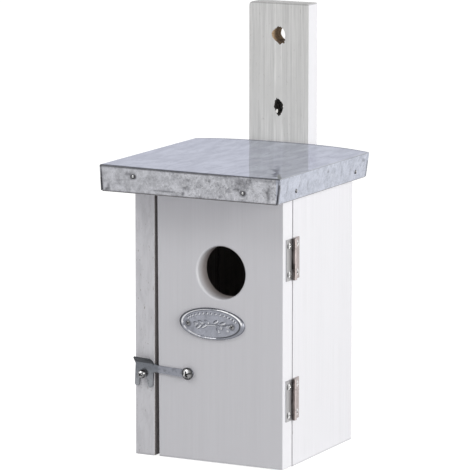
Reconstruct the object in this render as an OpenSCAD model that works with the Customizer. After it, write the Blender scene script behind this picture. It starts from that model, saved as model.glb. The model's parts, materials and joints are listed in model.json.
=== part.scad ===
// Wooden nest box with a sheet-metal roof, a side-hinged front door held by a
// swivel latch, and a mounting slat that stands up behind the roof.
// Millimetres, +Z up, the door faces -Y. The origin is at the middle of the
// whole outline, on the ground.

/* [Box] */
// Outside width of the box
box_w = 100; // [85:1:160]
// Depth of the box, from its front face to its back face
box_d = 95; // [80:1:160]
// Height of the walls
wall_h = 165; // [150:1:260]
// Thickness of the side walls
side_t = 13.5; // [10:0.5:16]
// Thickness of the back wall
back_t = 12; // [9:0.5:18]
// Thickness of the floor
floor_t = 12; // [9:0.5:18]
// Radius of the eased edges of the boards
edge_r = 1; // [0.5:0.1:1.5]

/* [Door] */
// Thickness of the door
door_t = 12.3; // [11:0.1:16]
// Gap between the left wall and the door, at the top
door_gap_top = 1.9; // [1:0.1:4]
// Gap between the left wall and the door, at the foot
door_gap_foot = 3.1; // [1:0.1:5]
// Gap between the door and the edge of the right wall behind it
door_gap_back = 1.2; // [0.8:0.1:2]
// Gap between the top of the door and the roof board
door_gap_roof = 1.5; // [1:0.1:4]
// Height of the foot of the door above the ground, at its free edge
door_lift_free = 0.2; // [0.2:0.1:3]
// Height of the foot of the door above the ground, at the hinges
door_lift_hinge = 0.6; // [0.2:0.1:3]

/* [Entrance] */
// Diameter of the entrance hole
hole_dia = 32; // [26:1:34]
// How far the middle of the hole is to the right of the middle of the box
hole_right = 8.6; // [0:0.1:12]
// Height of the middle of the hole
hole_z = 116.8; // [114:0.1:125]
// Radius of the rounded lip of the hole
hole_lip_r = 1.2; // [0.5:0.1:2]

/* [Roof] */
// How far the middle of the roof is to the right of the middle of the box
roof_right = 0.7; // [0:0.1:2]
// How far the roof stands out over each side
roof_side = 10.3; // [6:0.1:20]
// How far the roof stands out over the door
roof_front = 25.7; // [15:0.1:40]
// Thickness of the roof board
roof_board_t = 15; // [12:0.5:20]
// Thickness of the metal sheet
sheet_t = 0.6; // [0.5:0.1:1]
// Height of the folded rim of the sheet
rim_h = 15; // [13:0.5:15]
// Inside radius of the folds of the sheet
fold_r = 0.6; // [0.4:0.1:0.8]
// How high the back edge of the sheet bows up in the middle
crown_h = 2.3; // [1:0.1:4]
// How far the bow reaches forward from the back edge
crown_l = 48; // [30:1:60]
// Width of the open seam beside each front corner, at the foot of the rim
seam_w = 1.5; // [0.5:0.1:2.5]
// Distance from the left end of the front rim to its left nail
front_nail_left = 22.8; // [10:0.1:35]
// Distance from the right end of the front rim to its right nail
front_nail_right = 24.5; // [10:0.1:35]
// Distance from the front of each side rim to its first nail
side_nail_front = 23.5; // [10:0.1:35]
// Distance from the back of each side rim to its second nail
side_nail_back = 16.4; // [8:0.1:35]
// Depth of the nails below the top of the roof
nail_down = 10; // [7:0.1:10.5]
// Depth of the left front nail below the top of the roof
nail_down_left = 5.4; // [4:0.1:10]
// Diameter of the nail heads
nail_head_dia = 2.8; // [2:0.1:4]
// Diameter of the nails
nail_dia = 1.4; // [1:0.1:2]
// Length of the nails in the board
nail_l = 14; // [8:1:20]

/* [Mounting slat] */
// Width of the slat
slat_w = 41; // [30:1:60]
// Thickness of the slat
slat_t = 12; // [9:0.5:18]
// Height of the top of the slat above the ground
slat_top = 269; // [240:1:400]
// Distance of the slat from the middle of the box, to the left
slat_left = 0.9; // [0:0.1:3]
// Radius of the top left corner of the slat
slat_corner_left = 2.5; // [1:0.5:8]
// Radius of the top right corner of the slat
slat_corner_right = 1; // [1:0.5:8]
// Diameter of the two mounting holes
slat_hole_dia = 9; // [5:0.5:11]
// Distance between the two mounting holes
slat_hole_gap = 44.8; // [25:0.1:60]
// Distance of the upper hole below the top of the slat
slat_hole_down = 19.8; // [12:0.1:25]
// Heights of the screws that join the slat to the back wall
slat_screw_low = 30; // [20:1:60]
slat_screw_high = 135; // [90:1:145]
// Length of these screws
slat_screw_l = 20; // [16:1:22]

/* [Hinges] */
// Height of each hinge
hinge_h = 25; // [20:0.2:36]
// Distance from the hinge pin to the far edge of each leaf
leaf_w = 8.4; // [7.5:0.1:10]
// Thickness of the leaves
leaf_t = 0.8; // [0.5:0.1:1.2]
// Diameter of the knuckle
knuckle_dia = 3; // [2.6:0.1:4]
// Diameter of the hinge pin
pin_dia = 1.5; // [1:0.1:1.6]
// Height of the middle of the lower hinge
hinge_low_z = 41.6; // [30:0.1:50]
// Height of the middle of the upper hinge
hinge_high_z = 126.9; // [110:0.1:130]
// How far the hinge pin stands in front of the back of the door
pin_forward = 0.5; // [0:0.1:1]
// Distance from the hinge pin to the screws
leaf_screw_in = 5; // [4.5:0.1:6]
// Distance between the two screws of a leaf
leaf_screw_gap = 17.3; // [13:0.1:22]
// Diameter of the heads of the hinge screws
leaf_screw_head = 4.4; // [3:0.1:4.6]

/* [Latch] */
// Distance from the left side of the box to the catch screw
catch_in = 5.9; // [5.5:0.1:8]
// Height of the latch pivot
latch_z = 53.5; // [45:0.1:60]
// Distance from the pivot to the middle of the latch plate
latch_reach = 29.8; // [26:0.1:34]
// Tilt of the latch when it rests on its catch, in degrees
latch_tilt = 2.8; // [0:0.1:5]
// Thickness of the latch
latch_t = 1; // [0.8:0.1:1.5]
// Width of the arm at the pivot
arm_w = 4.6; // [3.5:0.1:6]
// Width of the arm at the plate
neck_w = 4.2; // [3.2:0.1:5]
// Width of the plate at the end of the arm
plate_w = 12.4; // [11:0.1:14]
// Height of the plate above the line of the pivot
plate_up = 1.8; // [1:0.1:3]
// Length of the prongs below the line of the pivot
plate_down = 12.4; // [10:0.1:14]
// Radius of the notch that hooks over the catch screw
notch_r = 2.3; // [2:0.1:2.6]
// Depth of the middle of the notch below the line of the pivot
notch_down = 4.4; // [4:0.1:6]
// How far the notch is to the left of the middle of the plate
notch_left = 0.8; // [0:0.1:1.2]
// Length of the lip that is bent outwards
lip_l = 5.5; // [3:0.1:8]
// Angle of the lip from the plate, in degrees
lip_angle = 40; // [20:1:60]
// Diameter of the head of the pivot screw
pivot_head_dia = 7.6; // [6:0.1:9]
// Diameter of the pivot screw
pivot_dia = 3.5; // [3:0.1:4]
// Diameter of the head of the catch screw
catch_head_dia = 5.4; // [5:0.1:7]
// Diameter of the catch screw
catch_dia = 3; // [2.5:0.1:3.2]

/* [Plaque] */
// Width of the oval plaque
plaque_w = 44; // [36:0.5:50]
// Height of the oval plaque
plaque_h = 19.4; // [16:0.1:24]
// Thickness of the sheet of the plaque
plaque_t = 0.8; // [0.5:0.1:1.2]
// Height of the raised rim of the plaque
plaque_rim_h = 1.6; // [1.2:0.1:2.5]
// Width of the raised rim
plaque_rim_w = 1.4; // [0.6:0.1:2]
// How far the left end of the plaque is to the left of the latch pivot
plaque_past = 5.9; // [0:0.1:7.2]
// Height of the middle of the plaque
plaque_z = 85.4; // [78:0.1:86]
// Distance between the screws of the plaque
plaque_screw_gap = 29.6; // [20:0.1:30]
// How far the middle of the two screws is to the left of the middle of the plaque
plaque_screw_left = 1.2; // [0:0.1:2]
// How far the two screws are below the middle of the plaque
plaque_screw_low = 0.9; // [0:0.1:2]
// Diameter of the heads of the plaque screws
plaque_screw_head = 3.2; // [2.4:0.1:4]

/* [Hidden] */
$fn = 48;

// Clearances
slack = 0.3;        // between pieces that move past each other
pilot_slack = 0.05; // around a screw or nail in its hole
run_slack = 0.05;   // around a pin that something turns on
over = 1;           // how far a cutting solid runs past what it cuts
hair = 0.01;        // keeps two faces from lying in one plane
overlap = 0.1;      // how far two joined solids run into each other

// Places across the box: left, right, front and back faces
box_x = -roof_right;
left_x = box_x - box_w / 2;
right_x = box_x + box_w / 2;
roof_w = box_w + 2 * roof_side;
roof_d = roof_front + box_d;
roof_y = -(roof_d + slat_t) / 2;
front_y = roof_y + roof_front;
back_y = front_y + box_d;
door_back_y = front_y + door_t;
inner_y = door_back_y + door_gap_back;
hole_x = box_x + hole_right;
slat_x = box_x - slat_left;

// Roof
roof_top = wall_h + roof_board_t + sheet_t;
rim_z = roof_top - rim_h;
fold_out_r = fold_r + sheet_t;
board_chamfer = fold_r + 0.4; // clears the inside of the folds
seam_down = 4;                // the seams end this far below the top
seam_in = 0.5;                // the seams start this far in from the sides
seam_tip_w = 0.3;             // width of a seam at its closed end
nail_head_h = 0.7;

// Hinges
knuckle_r = knuckle_dia / 2;
knuckle_gap = 0.25;  // between the knuckle and the side of the box
knuckle_play = 0.1;  // between a knuckle and the middle of its joint
pin_out = 0.3;       // how far the pin stands out at each end
pin_x = right_x + knuckle_gap + knuckle_r;
pin_y = door_back_y - pin_forward;
leaf_screw_dia = 2.3;
leaf_screw_l = 8.5;
leaf_head_h = 0.7;

// Slat
slat_screw_r = 1.75;
slat_screw_head_r = 3.3;
slat_screw_head_h = 2;

// Latch, in the plane of the door's face
catch_x = left_x + catch_in;
notch_reach = latch_reach + notch_left; // from the pivot to the middle of the notch
latch_x = catch_x + notch_reach * cos(latch_tilt) + notch_down * sin(latch_tilt);
catch_z = latch_z + notch_reach * sin(latch_tilt) - notch_down * cos(latch_tilt);
pivot_seat = slack + latch_t + 0.6; // the head of the pivot stands this far off the wood
catch_seat = slack + latch_t + 1.7; // the head of the catch stands this far off the wood
swing_r = norm([notch_reach, notch_down]) - catch_dia / 2 - slack; // clears the catch
tip_r = 1.7;        // radius of the tip of the prong next to the arm
eye_r = 3.4;        // radius of the end of the arm around the pivot
arm_drop = 0.3;     // how far the middle of the arm is below the pivot
corner_r = 1.2;     // radius of the inner corner between the arm and the plate
web_l = 3.5;        // length of the slope between the plate and the arm
web_up = 0.9;       // how far this slope starts above the fold of the lip
lip_corner_r = 2.2; // radius of the lip's outer corner next to the arm
screw_head_h = 2.1;
pivot_l = 10;
catch_l = 16;

// Plaque
plaque_x = latch_x - plaque_past + plaque_w / 2;
plaque_screw_dia = 1.8;
plaque_screw_l = 8;
plaque_head_h = 0.8;

// Colours
paint = [0.86, 0.86, 0.87];
zinc = [0.70, 0.72, 0.75];
steel = [0.66, 0.62, 0.60];
dark_zinc = [0.52, 0.54, 0.58];

// ---------------------------------------------------------------- helpers

// A rectangle from its low corner, with its corners rounded as true arcs
module round_rect(w, d, r) {
    translate([r, 0]) square([w - 2 * r, d]);
    translate([0, r]) square([w, d - 2 * r]);
    for (x = [r, w - r], y = [r, d - r])
        translate([x, y]) circle(r);
}

// An upright board from its low corner, with its long edges eased
module board(w, d, h) {
    linear_extrude(h) round_rect(w, d, edge_r);
}

// A low dome that stands on the plane z = 0
module dome(r, h) {
    ball_r = (r * r + h * h) / (2 * h);
    rotate_extrude()
        intersection() {
            translate([0, h - ball_r]) circle(ball_r);
            square([r, h]);
        }
}

// A cross recess cut down from the top of a screw head
module cross_recess(head_r, head_h) {
    slot_l = head_r * 1.1;
    slot_w = head_r * 0.24;
    for (turn = [0, 90])
        rotate(turn)
            translate([-slot_l / 2, -slot_w / 2, head_h * 0.5])
                cube([slot_l, slot_w, head_h]);
}

// A screw with a domed head; the head stands on z = 0 and the shank goes down
module screw(head_r, head_h, shank_r, shank_l) {
    difference() {
        dome(head_r, head_h);
        cross_recess(head_r, head_h);
    }
    translate([0, 0, -shank_l]) cylinder(r = shank_r, h = shank_l);
}

// Turns +Z to each outward direction
module facing_front() { rotate([90, 0, 0]) children(); }
module facing_back() { rotate([-90, 0, 0]) children(); }
module facing_left() { rotate([0, -90, 0]) children(); }
module facing_right() { rotate([0, 90, 0]) children(); }

// The hole that a screw or nail of this radius goes into
module pilot(r, l) {
    translate([0, 0, -l - pilot_slack]) cylinder(r = r + pilot_slack, h = l + pilot_slack + over);
}

// ---------------------------------------------------------------- places

module at_latch_pivot() { translate([latch_x, front_y, latch_z]) facing_front() children(); }
module at_catch() { translate([catch_x, front_y, catch_z]) facing_front() children(); }

module at_plaque_screws() {
    for (side = [-1, 1])
        translate([
            plaque_x - plaque_screw_left + side * plaque_screw_gap / 2,
            front_y, plaque_z - plaque_screw_low
        ])
            facing_front() children();
}

// Both screws of one leaf; side is -1 for the door's leaf and 1 for the wall's
module at_leaf_screws(z, side) {
    for (up = [-1, 1])
        translate([right_x, pin_y + side * leaf_screw_in, z + up * leaf_screw_gap / 2])
            facing_right() children();
}

module at_front_nails() {
    translate([-roof_w / 2 + front_nail_left, roof_y, roof_top - nail_down_left])
        facing_front() children();
    translate([roof_w / 2 - front_nail_right, roof_y, roof_top - nail_down])
        facing_front() children();
}

module at_left_nails() {
    for (y = [roof_y + side_nail_front, back_y - side_nail_back])
        translate([-roof_w / 2, y, roof_top - nail_down]) facing_left() children();
}

module at_right_nails() {
    for (y = [roof_y + side_nail_front, back_y - side_nail_back])
        translate([roof_w / 2, y, roof_top - nail_down]) facing_right() children();
}

module at_slat_screws() {
    for (z = [slat_screw_low, slat_screw_high])
        translate([slat_x, back_y + slat_t, z]) facing_back() children();
}

// ---------------------------------------------------------------- box

module left_wall() {
    color(paint)
        difference() {
            translate([left_x, front_y, 0]) board(side_t, box_d, wall_h);
            at_catch() pilot(catch_dia / 2, catch_l);
        }
}

module right_wall() {
    color(paint)
        difference() {
            translate([right_x - side_t, inner_y, 0])
                board(side_t, back_y - inner_y, wall_h);
            for (z = [hinge_low_z, hinge_high_z])
                at_leaf_screws(z, 1) pilot(leaf_screw_dia / 2, leaf_screw_l);
        }
}

module back_wall() {
    color(paint)
        difference() {
            translate([left_x + side_t, back_y - back_t, 0])
                cube([box_w - 2 * side_t, back_t, wall_h]);
            at_slat_screws() pilot(slat_screw_r, slat_screw_l);
        }
}

module floor() {
    color(paint)
        translate([left_x + side_t, inner_y, 0])
            cube([box_w - 2 * side_t, back_y - back_t - inner_y, floor_t]);
}

// ---------------------------------------------------------------- roof

// The solid under the folded sheet: a block with rounded top edges at the
// front and the two sides
module roof_block(w, d, h, r) {
    intersection() {
        translate([-w / 2, 0, 0]) rotate([90, 0, 90]) linear_extrude(w) {
            square([d, h - r]);
            translate([r, 0]) square([d - r, h]);
            translate([r, h - r]) circle(r);
        }
        translate([0, d, 0]) rotate([90, 0, 0]) linear_extrude(d) {
            translate([-w / 2, 0]) square([w, h - r]);
            translate([-w / 2 + r, 0]) square([w - 2 * r, h]);
            for (x = [-w / 2 + r, w / 2 - r])
                translate([x, h - r]) circle(r);
        }
    }
}

// A block with a flat chamfer on its top edges at the front and the two sides
module eased_block(w, d, h, c) {
    intersection() {
        translate([-w / 2, 0, 0]) rotate([90, 0, 90]) linear_extrude(w)
            polygon([[0, 0], [d, 0], [d, h], [c, h], [0, h - c]]);
        translate([0, d, 0]) rotate([90, 0, 0]) linear_extrude(d)
            polygon([
                [-w / 2, 0], [w / 2, 0], [w / 2, h - c],
                [w / 2 - c, h], [c - w / 2, h], [-w / 2, h - c]
            ]);
    }
}

module roof_board() {
    color(paint)
        difference() {
            translate([0, roof_y + sheet_t, wall_h])
                eased_block(roof_w - 2 * sheet_t, roof_d - sheet_t, roof_board_t, board_chamfer);
            at_front_nails() pilot(nail_dia / 2, nail_l + sheet_t);
            at_left_nails() pilot(nail_dia / 2, nail_l + sheet_t);
            at_right_nails() pilot(nail_dia / 2, nail_l + sheet_t);
        }
}

// How far the sheet is bowed up at a place: across runs from -1 to 1 over the
// width, and along from 0 to 1 over the bowed length
function bow(across, along) =
    crown_h * (1 - pow(min(1, abs(across)), 3)) * pow(max(0, along), 2);

// The bowed back part of the sheet, with a flat border that joins the rest
module bowed_sheet(half_w) {
    cols = 20;
    rows = 6;
    border = 0.4;
    start_y = back_y - crown_l;
    xs = [-half_w - border, for (i = [0:cols]) half_w * (2 * i / cols - 1), half_w + border];
    ys = [start_y - border, for (j = [0:rows]) start_y + crown_l * j / rows];
    nx = len(xs);
    ny = len(ys);
    function lift(i, j) = bow(xs[i] / half_w, (ys[j] - start_y) / crown_l);
    upper = [for (j = [0:ny - 1], i = [0:nx - 1]) [xs[i], ys[j], roof_top + lift(i, j)]];
    lower = [for (p = upper) p - [0, 0, sheet_t]];
    n = nx * ny;
    function at(i, j) = j * nx + i;
    polyhedron(
        concat(upper, lower),
        concat(
            [for (j = [0:ny - 2], i = [0:nx - 2]) each [
                [at(i, j), at(i, j + 1), at(i + 1, j + 1)],
                [at(i, j), at(i + 1, j + 1), at(i + 1, j)],
                [n + at(i, j), n + at(i + 1, j + 1), n + at(i, j + 1)],
                [n + at(i, j), n + at(i + 1, j), n + at(i + 1, j + 1)]
            ]],
            [for (i = [0:nx - 2]) each [
                [at(i, 0), at(i + 1, 0), n + at(i + 1, 0), n + at(i, 0)],
                [at(i + 1, ny - 1), at(i, ny - 1), n + at(i, ny - 1), n + at(i + 1, ny - 1)]
            ]],
            [for (j = [0:ny - 2]) each [
                [at(0, j + 1), at(0, j), n + at(0, j), n + at(0, j + 1)],
                [at(nx - 1, j), at(nx - 1, j + 1), n + at(nx - 1, j + 1), n + at(nx - 1, j)]
            ]]
        )
    );
}

// The open seam between the front rim and a side rim; side is -1 or 1
module corner_seam(side) {
    seam_h = rim_h - seam_down;
    edge = roof_w / 2 - seam_in;
    translate([0, roof_y + sheet_t + overlap, rim_z])
        rotate([90, 0, 0]) linear_extrude(sheet_t + over)
            polygon([
                [side * edge, -over], [side * (edge - seam_w), -over],
                [side * (edge - seam_tip_w), seam_h], [side * edge, seam_h]
            ]);
}

module roof_sheet() {
    half_w = roof_w / 2 - fold_out_r;
    inner_h = rim_h - sheet_t;
    color(zinc) {
        difference() {
            translate([0, roof_y, rim_z]) roof_block(roof_w, roof_d, rim_h, fold_out_r);
            translate([0, roof_y + sheet_t, rim_z - over])
                roof_block(roof_w - 2 * sheet_t, roof_d, inner_h + over, fold_r);
            translate([-half_w, back_y - crown_l, rim_z])
                cube([2 * half_w, crown_l + over, rim_h + over]);
            corner_seam(-1);
            corner_seam(1);
            at_front_nails() pilot(nail_dia / 2, sheet_t);
            at_left_nails() pilot(nail_dia / 2, sheet_t);
            at_right_nails() pilot(nail_dia / 2, sheet_t);
        }
        bowed_sheet(half_w);
    }
}

module nail() {
    dome(nail_head_dia / 2, nail_head_h);
    translate([0, 0, -nail_l]) cylinder(d = nail_dia, h = nail_l);
}

module roof_nails_front() { color(zinc) at_front_nails() nail(); }
module roof_nails_left() { color(zinc) at_left_nails() nail(); }
module roof_nails_right() { color(zinc) at_right_nails() nail(); }

// ---------------------------------------------------------------- slat

// A flush screw with a conical head; its top lies on z = 0
module flush_screw(r, head_r, head_h, l) {
    difference() {
        union() {
            translate([0, 0, -head_h]) cylinder(r1 = r, r2 = head_r, h = head_h);
            translate([0, 0, -l]) cylinder(r = r, h = l - head_h);
        }
        translate([0, 0, -head_h]) cross_recess(head_r, head_h);
    }
}

module slat_outline() {
    left_r = slat_corner_left;
    right_r = slat_corner_right;
    square([slat_w, slat_top - max(left_r, right_r)]);
    translate([left_r, 0]) square([slat_w - left_r - right_r, slat_top]);
    square([slat_w / 2, slat_top - left_r]);
    translate([slat_w / 2, 0]) square([slat_w / 2, slat_top - right_r]);
    translate([left_r, slat_top - left_r]) circle(left_r);
    translate([slat_w - right_r, slat_top - right_r]) circle(right_r);
}

module mounting_slat() {
    color(paint)
        difference() {
            intersection() {
                translate([slat_x - slat_w / 2, back_y, 0]) board(slat_w, slat_t, slat_top);
                translate([slat_x - slat_w / 2, back_y + slat_t, 0])
                    rotate([90, 0, 0]) linear_extrude(slat_t) slat_outline();
            }
            for (down = [0, slat_hole_gap])
                translate([slat_x, back_y - over, slat_top - slat_hole_down - down])
                    rotate([-90, 0, 0]) cylinder(d = slat_hole_dia, h = slat_t + 2 * over);
            at_slat_screws() {
                pilot(slat_screw_r, slat_t + over);
                translate([0, 0, -slat_screw_head_h])
                    cylinder(r1 = slat_screw_r + pilot_slack, r2 = slat_screw_head_r + pilot_slack,
                             h = slat_screw_head_h + hair);
            }
        }
}

module slat_screws() {
    color(steel)
        at_slat_screws()
            flush_screw(slat_screw_r, slat_screw_head_r, slat_screw_head_h, slat_screw_l);
}

// ---------------------------------------------------------------- door

module door() {
    top_x = left_x + side_t + door_gap_top;
    foot_x = left_x + side_t + door_gap_foot;
    low_x = min(top_x, foot_x);
    low_z = min(door_lift_free, door_lift_hinge);
    door_h = wall_h - door_gap_roof - low_z;
    hole_r = hole_dia / 2;
    color(paint)
        difference() {
            translate([low_x, front_y, low_z]) board(right_x - low_x, door_t, door_h);
            // the left edge and the foot, which lean a little
            translate([0, door_back_y + over, low_z]) rotate([90, 0, 0])
                linear_extrude(door_t + 2 * over) {
                    polygon([[low_x - over, 0], [foot_x, 0], [top_x, door_h], [low_x - over, door_h]]);
                    polygon([
                        [low_x, -over], [right_x + over, -over],
                        [right_x + over, door_lift_hinge - low_z], [low_x, door_lift_free - low_z]
                    ]);
                }
            translate([hole_x, front_y - over, hole_z]) rotate([-90, 0, 0])
                cylinder(r = hole_r, h = door_t + 2 * over);
            translate([hole_x, front_y, hole_z]) rotate([-90, 0, 0])
                rotate_extrude() difference() {
                    translate([0, -over]) square([hole_r + hole_lip_r, hole_lip_r + over]);
                    translate([hole_r + hole_lip_r, hole_lip_r]) circle(hole_lip_r);
                }
            for (z = [hinge_low_z, hinge_high_z])
                at_leaf_screws(z, -1) pilot(leaf_screw_dia / 2, leaf_screw_l);
            at_latch_pivot() pilot(pivot_dia / 2, pivot_l);
            at_plaque_screws() pilot(plaque_screw_dia / 2, plaque_screw_l);
        }
}

// ---------------------------------------------------------------- hinges

// One leaf; side is -1 for the leaf on the door, which has the middle knuckle,
// and 1 for the leaf on the wall, which has the two outer ones
module hinge_leaf(z, side) {
    mid_half = hinge_h / 4;
    near = knuckle_r + slack;
    spans = side < 0 ? [[-mid_half + knuckle_play, mid_half - knuckle_play]]
        : [[-hinge_h / 2, -mid_half - knuckle_play], [mid_half + knuckle_play, hinge_h / 2]];
    color(steel)
        difference() {
            translate([pin_x, pin_y, z]) {
                translate([right_x - pin_x, side < 0 ? -leaf_w : near, -hinge_h / 2])
                    cube([leaf_t, leaf_w - near, hinge_h]);
                for (s = spans)
                    translate([0, 0, s[0]]) {
                        cylinder(r = knuckle_r, h = s[1] - s[0]);
                        translate([right_x - pin_x, side < 0 ? -near - overlap : 0, 0])
                            cube([leaf_t, near + overlap, s[1] - s[0]]);
                    }
            }
            translate([pin_x, pin_y, z - hinge_h])
                cylinder(r = pin_dia / 2 + run_slack, h = 2 * hinge_h);
            at_leaf_screws(z, side) translate([0, 0, -over])
                cylinder(d = leaf_screw_dia + 2 * pilot_slack, h = leaf_t + 2 * over);
        }
}

module hinge_pin(z) {
    color(steel)
        translate([pin_x, pin_y, z - hinge_h / 2 - pin_out])
            cylinder(d = pin_dia, h = hinge_h + 2 * pin_out);
}

module leaf_screws(z, side) {
    color(steel)
        at_leaf_screws(z, side)
            translate([0, 0, leaf_t])
                screw(leaf_screw_head / 2, leaf_head_h, leaf_screw_dia / 2, leaf_screw_l + leaf_t);
}

module upper_hinge_wall_leaf() { hinge_leaf(hinge_high_z, 1); }
module upper_hinge_door_leaf() { hinge_leaf(hinge_high_z, -1); }
module upper_hinge_pin() { hinge_pin(hinge_high_z); }
module upper_hinge_wall_screws() { leaf_screws(hinge_high_z, 1); }
module upper_hinge_door_screws() { leaf_screws(hinge_high_z, -1); }
module lower_hinge_wall_leaf() { hinge_leaf(hinge_low_z, 1); }
module lower_hinge_door_leaf() { hinge_leaf(hinge_low_z, -1); }
module lower_hinge_pin() { hinge_pin(hinge_low_z); }
module lower_hinge_wall_screws() { leaf_screws(hinge_low_z, 1); }
module lower_hinge_door_screws() { leaf_screws(hinge_low_z, -1); }

// ---------------------------------------------------------------- latch

// A strip that hangs down beside the notch; its right corner is a round tip
module prong(x0, x1, r) {
    translate([x0, r - plate_down]) square([x1 - x0, plate_down - r - notch_down + hair]);
    translate([x1 - r, r - plate_down]) circle(r);
}

// The flat outline of the latch, pivot at the origin, plate to the left
module latch_outline() {
    plate_low = -latch_reach - plate_w / 2;
    plate_high = plate_low + plate_w;
    arm_top = arm_w / 2 - arm_drop;
    neck_top = neck_w / 2 - arm_drop;
    neck_low = neck_top - neck_w;
    prong_x = -notch_reach - notch_r;
    difference() {
        union() {
            circle(eye_r);
            polygon([
                [plate_high - over, neck_low], [0, arm_top - arm_w],
                [0, arm_top], [plate_high - over, neck_top]
            ]);
            translate([plate_low, -notch_down]) square([plate_w, notch_down + plate_up]);
            prong(plate_low, prong_x, (prong_x - plate_low) / 2);
            intersection() {
                prong(-notch_reach + notch_r, plate_high, tip_r);
                circle(swing_r);
            }
            polygon([
                [plate_high - over, neck_top - over], [plate_high - over, plate_up],
                [plate_high, plate_up + web_up], [plate_high + web_l, neck_top],
                [plate_high + web_l, neck_top - over]
            ]);
            translate([plate_high - overlap, neck_low - corner_r]) difference() {
                square([corner_r + overlap, corner_r + overlap]);
                translate([corner_r + overlap, 0]) circle(corner_r);
            }
        }
        circle(d = pivot_dia + 2 * run_slack);
        translate([-notch_reach, -notch_down]) circle(notch_r);
    }
}

// The lip along the top of the plate, bent outwards
module latch_lip() {
    plate_low = -latch_reach - plate_w / 2;
    rise = lip_l * cos(lip_angle);
    out = lip_l * sin(lip_angle);
    intersection() {
        translate([plate_low, 0, 0]) rotate([90, 0, 90]) linear_extrude(plate_w)
            polygon([
                [plate_up - over, 0], [plate_up, 0], [plate_up + rise, out],
                [plate_up + rise - latch_t * sin(lip_angle), out + latch_t * cos(lip_angle)],
                [plate_up - latch_t * tan(lip_angle / 2), latch_t], [plate_up - over, latch_t]
            ]);
        linear_extrude(lip_l + latch_t) translate([plate_low, plate_up]) {
            translate([0, -over]) square([plate_w, over + rise - lip_corner_r]);
            square([plate_w - lip_corner_r, rise]);
            translate([plate_w - lip_corner_r, rise - lip_corner_r]) circle(lip_corner_r);
        }
    }
}

module latch() {
    color(dark_zinc)
        at_latch_pivot() rotate(-latch_tilt) translate([0, 0, slack]) {
            linear_extrude(latch_t) latch_outline();
            latch_lip();
        }
}

module latch_pivot_screw() {
    color(steel)
        at_latch_pivot() translate([0, 0, pivot_seat])
            screw(pivot_head_dia / 2, screw_head_h, pivot_dia / 2, pivot_l + pivot_seat);
}

module catch_screw() {
    color(steel)
        at_catch() translate([0, 0, catch_seat])
            screw(catch_head_dia / 2, screw_head_h, catch_dia / 2, catch_l + catch_seat);
}

// ---------------------------------------------------------------- plaque

module ellipse(w, h) {
    points = 72;
    polygon([for (i = [0:points - 1]) let (a = 360 * i / points) [w / 2 * cos(a), h / 2 * sin(a)]]);
}

module plaque() {
    color(zinc)
        difference() {
            translate([plaque_x, front_y, plaque_z]) facing_front() difference() {
                linear_extrude(plaque_rim_h) ellipse(plaque_w, plaque_h);
                translate([0, 0, plaque_t]) linear_extrude(plaque_rim_h)
                    ellipse(plaque_w - 2 * plaque_rim_w, plaque_h - 2 * plaque_rim_w);
            }
            at_plaque_screws() translate([0, 0, -over])
                cylinder(d = plaque_screw_dia + 2 * pilot_slack, h = plaque_t + 2 * over);
        }
}

module plaque_screws() {
    color(steel)
        at_plaque_screws() translate([0, 0, plaque_t])
            screw(plaque_screw_head / 2, plaque_head_h, plaque_screw_dia / 2,
                  plaque_screw_l + plaque_t);
}

// ---------------------------------------------------------------- parts

left_wall();
right_wall();
back_wall();
floor();
roof_board();
roof_sheet();
mounting_slat();
door();
upper_hinge_wall_leaf();
upper_hinge_door_leaf();
upper_hinge_pin();
upper_hinge_wall_screws();
upper_hinge_door_screws();
lower_hinge_wall_leaf();
lower_hinge_door_leaf();
lower_hinge_pin();
lower_hinge_wall_screws();
lower_hinge_door_screws();
latch();
latch_pivot_screw();
catch_screw();
plaque();
plaque_screws();
roof_nails_front();
roof_nails_left();
roof_nails_right();
slat_screws();
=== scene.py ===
"""Looks of a wooden nest box with a zinc roof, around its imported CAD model."""

import json
import math

import bmesh
import bpy
import numpy as np
from mathutils import Matrix, Vector, noise


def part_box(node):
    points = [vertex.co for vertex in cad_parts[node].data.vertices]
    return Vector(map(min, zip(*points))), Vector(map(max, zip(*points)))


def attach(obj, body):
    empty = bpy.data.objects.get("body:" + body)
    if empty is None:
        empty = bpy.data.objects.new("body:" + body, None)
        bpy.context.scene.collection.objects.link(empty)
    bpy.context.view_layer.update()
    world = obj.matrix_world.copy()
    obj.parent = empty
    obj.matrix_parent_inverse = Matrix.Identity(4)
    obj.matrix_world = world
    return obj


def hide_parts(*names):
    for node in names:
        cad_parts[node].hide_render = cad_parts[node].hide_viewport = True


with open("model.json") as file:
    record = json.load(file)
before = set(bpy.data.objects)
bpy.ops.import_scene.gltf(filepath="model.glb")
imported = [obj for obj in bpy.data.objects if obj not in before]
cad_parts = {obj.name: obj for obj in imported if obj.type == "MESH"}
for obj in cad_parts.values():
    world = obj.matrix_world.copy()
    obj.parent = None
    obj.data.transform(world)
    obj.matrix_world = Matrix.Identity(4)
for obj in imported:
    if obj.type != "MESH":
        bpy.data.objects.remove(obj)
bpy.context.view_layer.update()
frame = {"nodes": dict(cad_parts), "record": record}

MM = 0.001
LEFT, RIGHT = Vector((-1, 0, 0)), Vector((1, 0, 0))
FRONT, BACK = Vector((0, -1, 0)), Vector((0, 1, 0))

# ---------------- camera

TARGET = Vector((0.0173, -0.04065, 0.14055))
YAW = math.radians(27.38)
PITCH = math.radians(9.92)
DISTANCE = 2.139
LENS_MM = 275.7
SENSOR_MM = 36


def placed(name, data):
    """A new object in the scene."""
    made = bpy.data.objects.new(name, data)
    bpy.context.scene.collection.objects.link(made)
    return made


def aim(thing, place, looking):
    """Puts a camera or a lamp at a place, looking along a direction."""
    thing.location = place
    thing.rotation_euler = looking.to_track_quat("-Z", "Y").to_euler()


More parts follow.
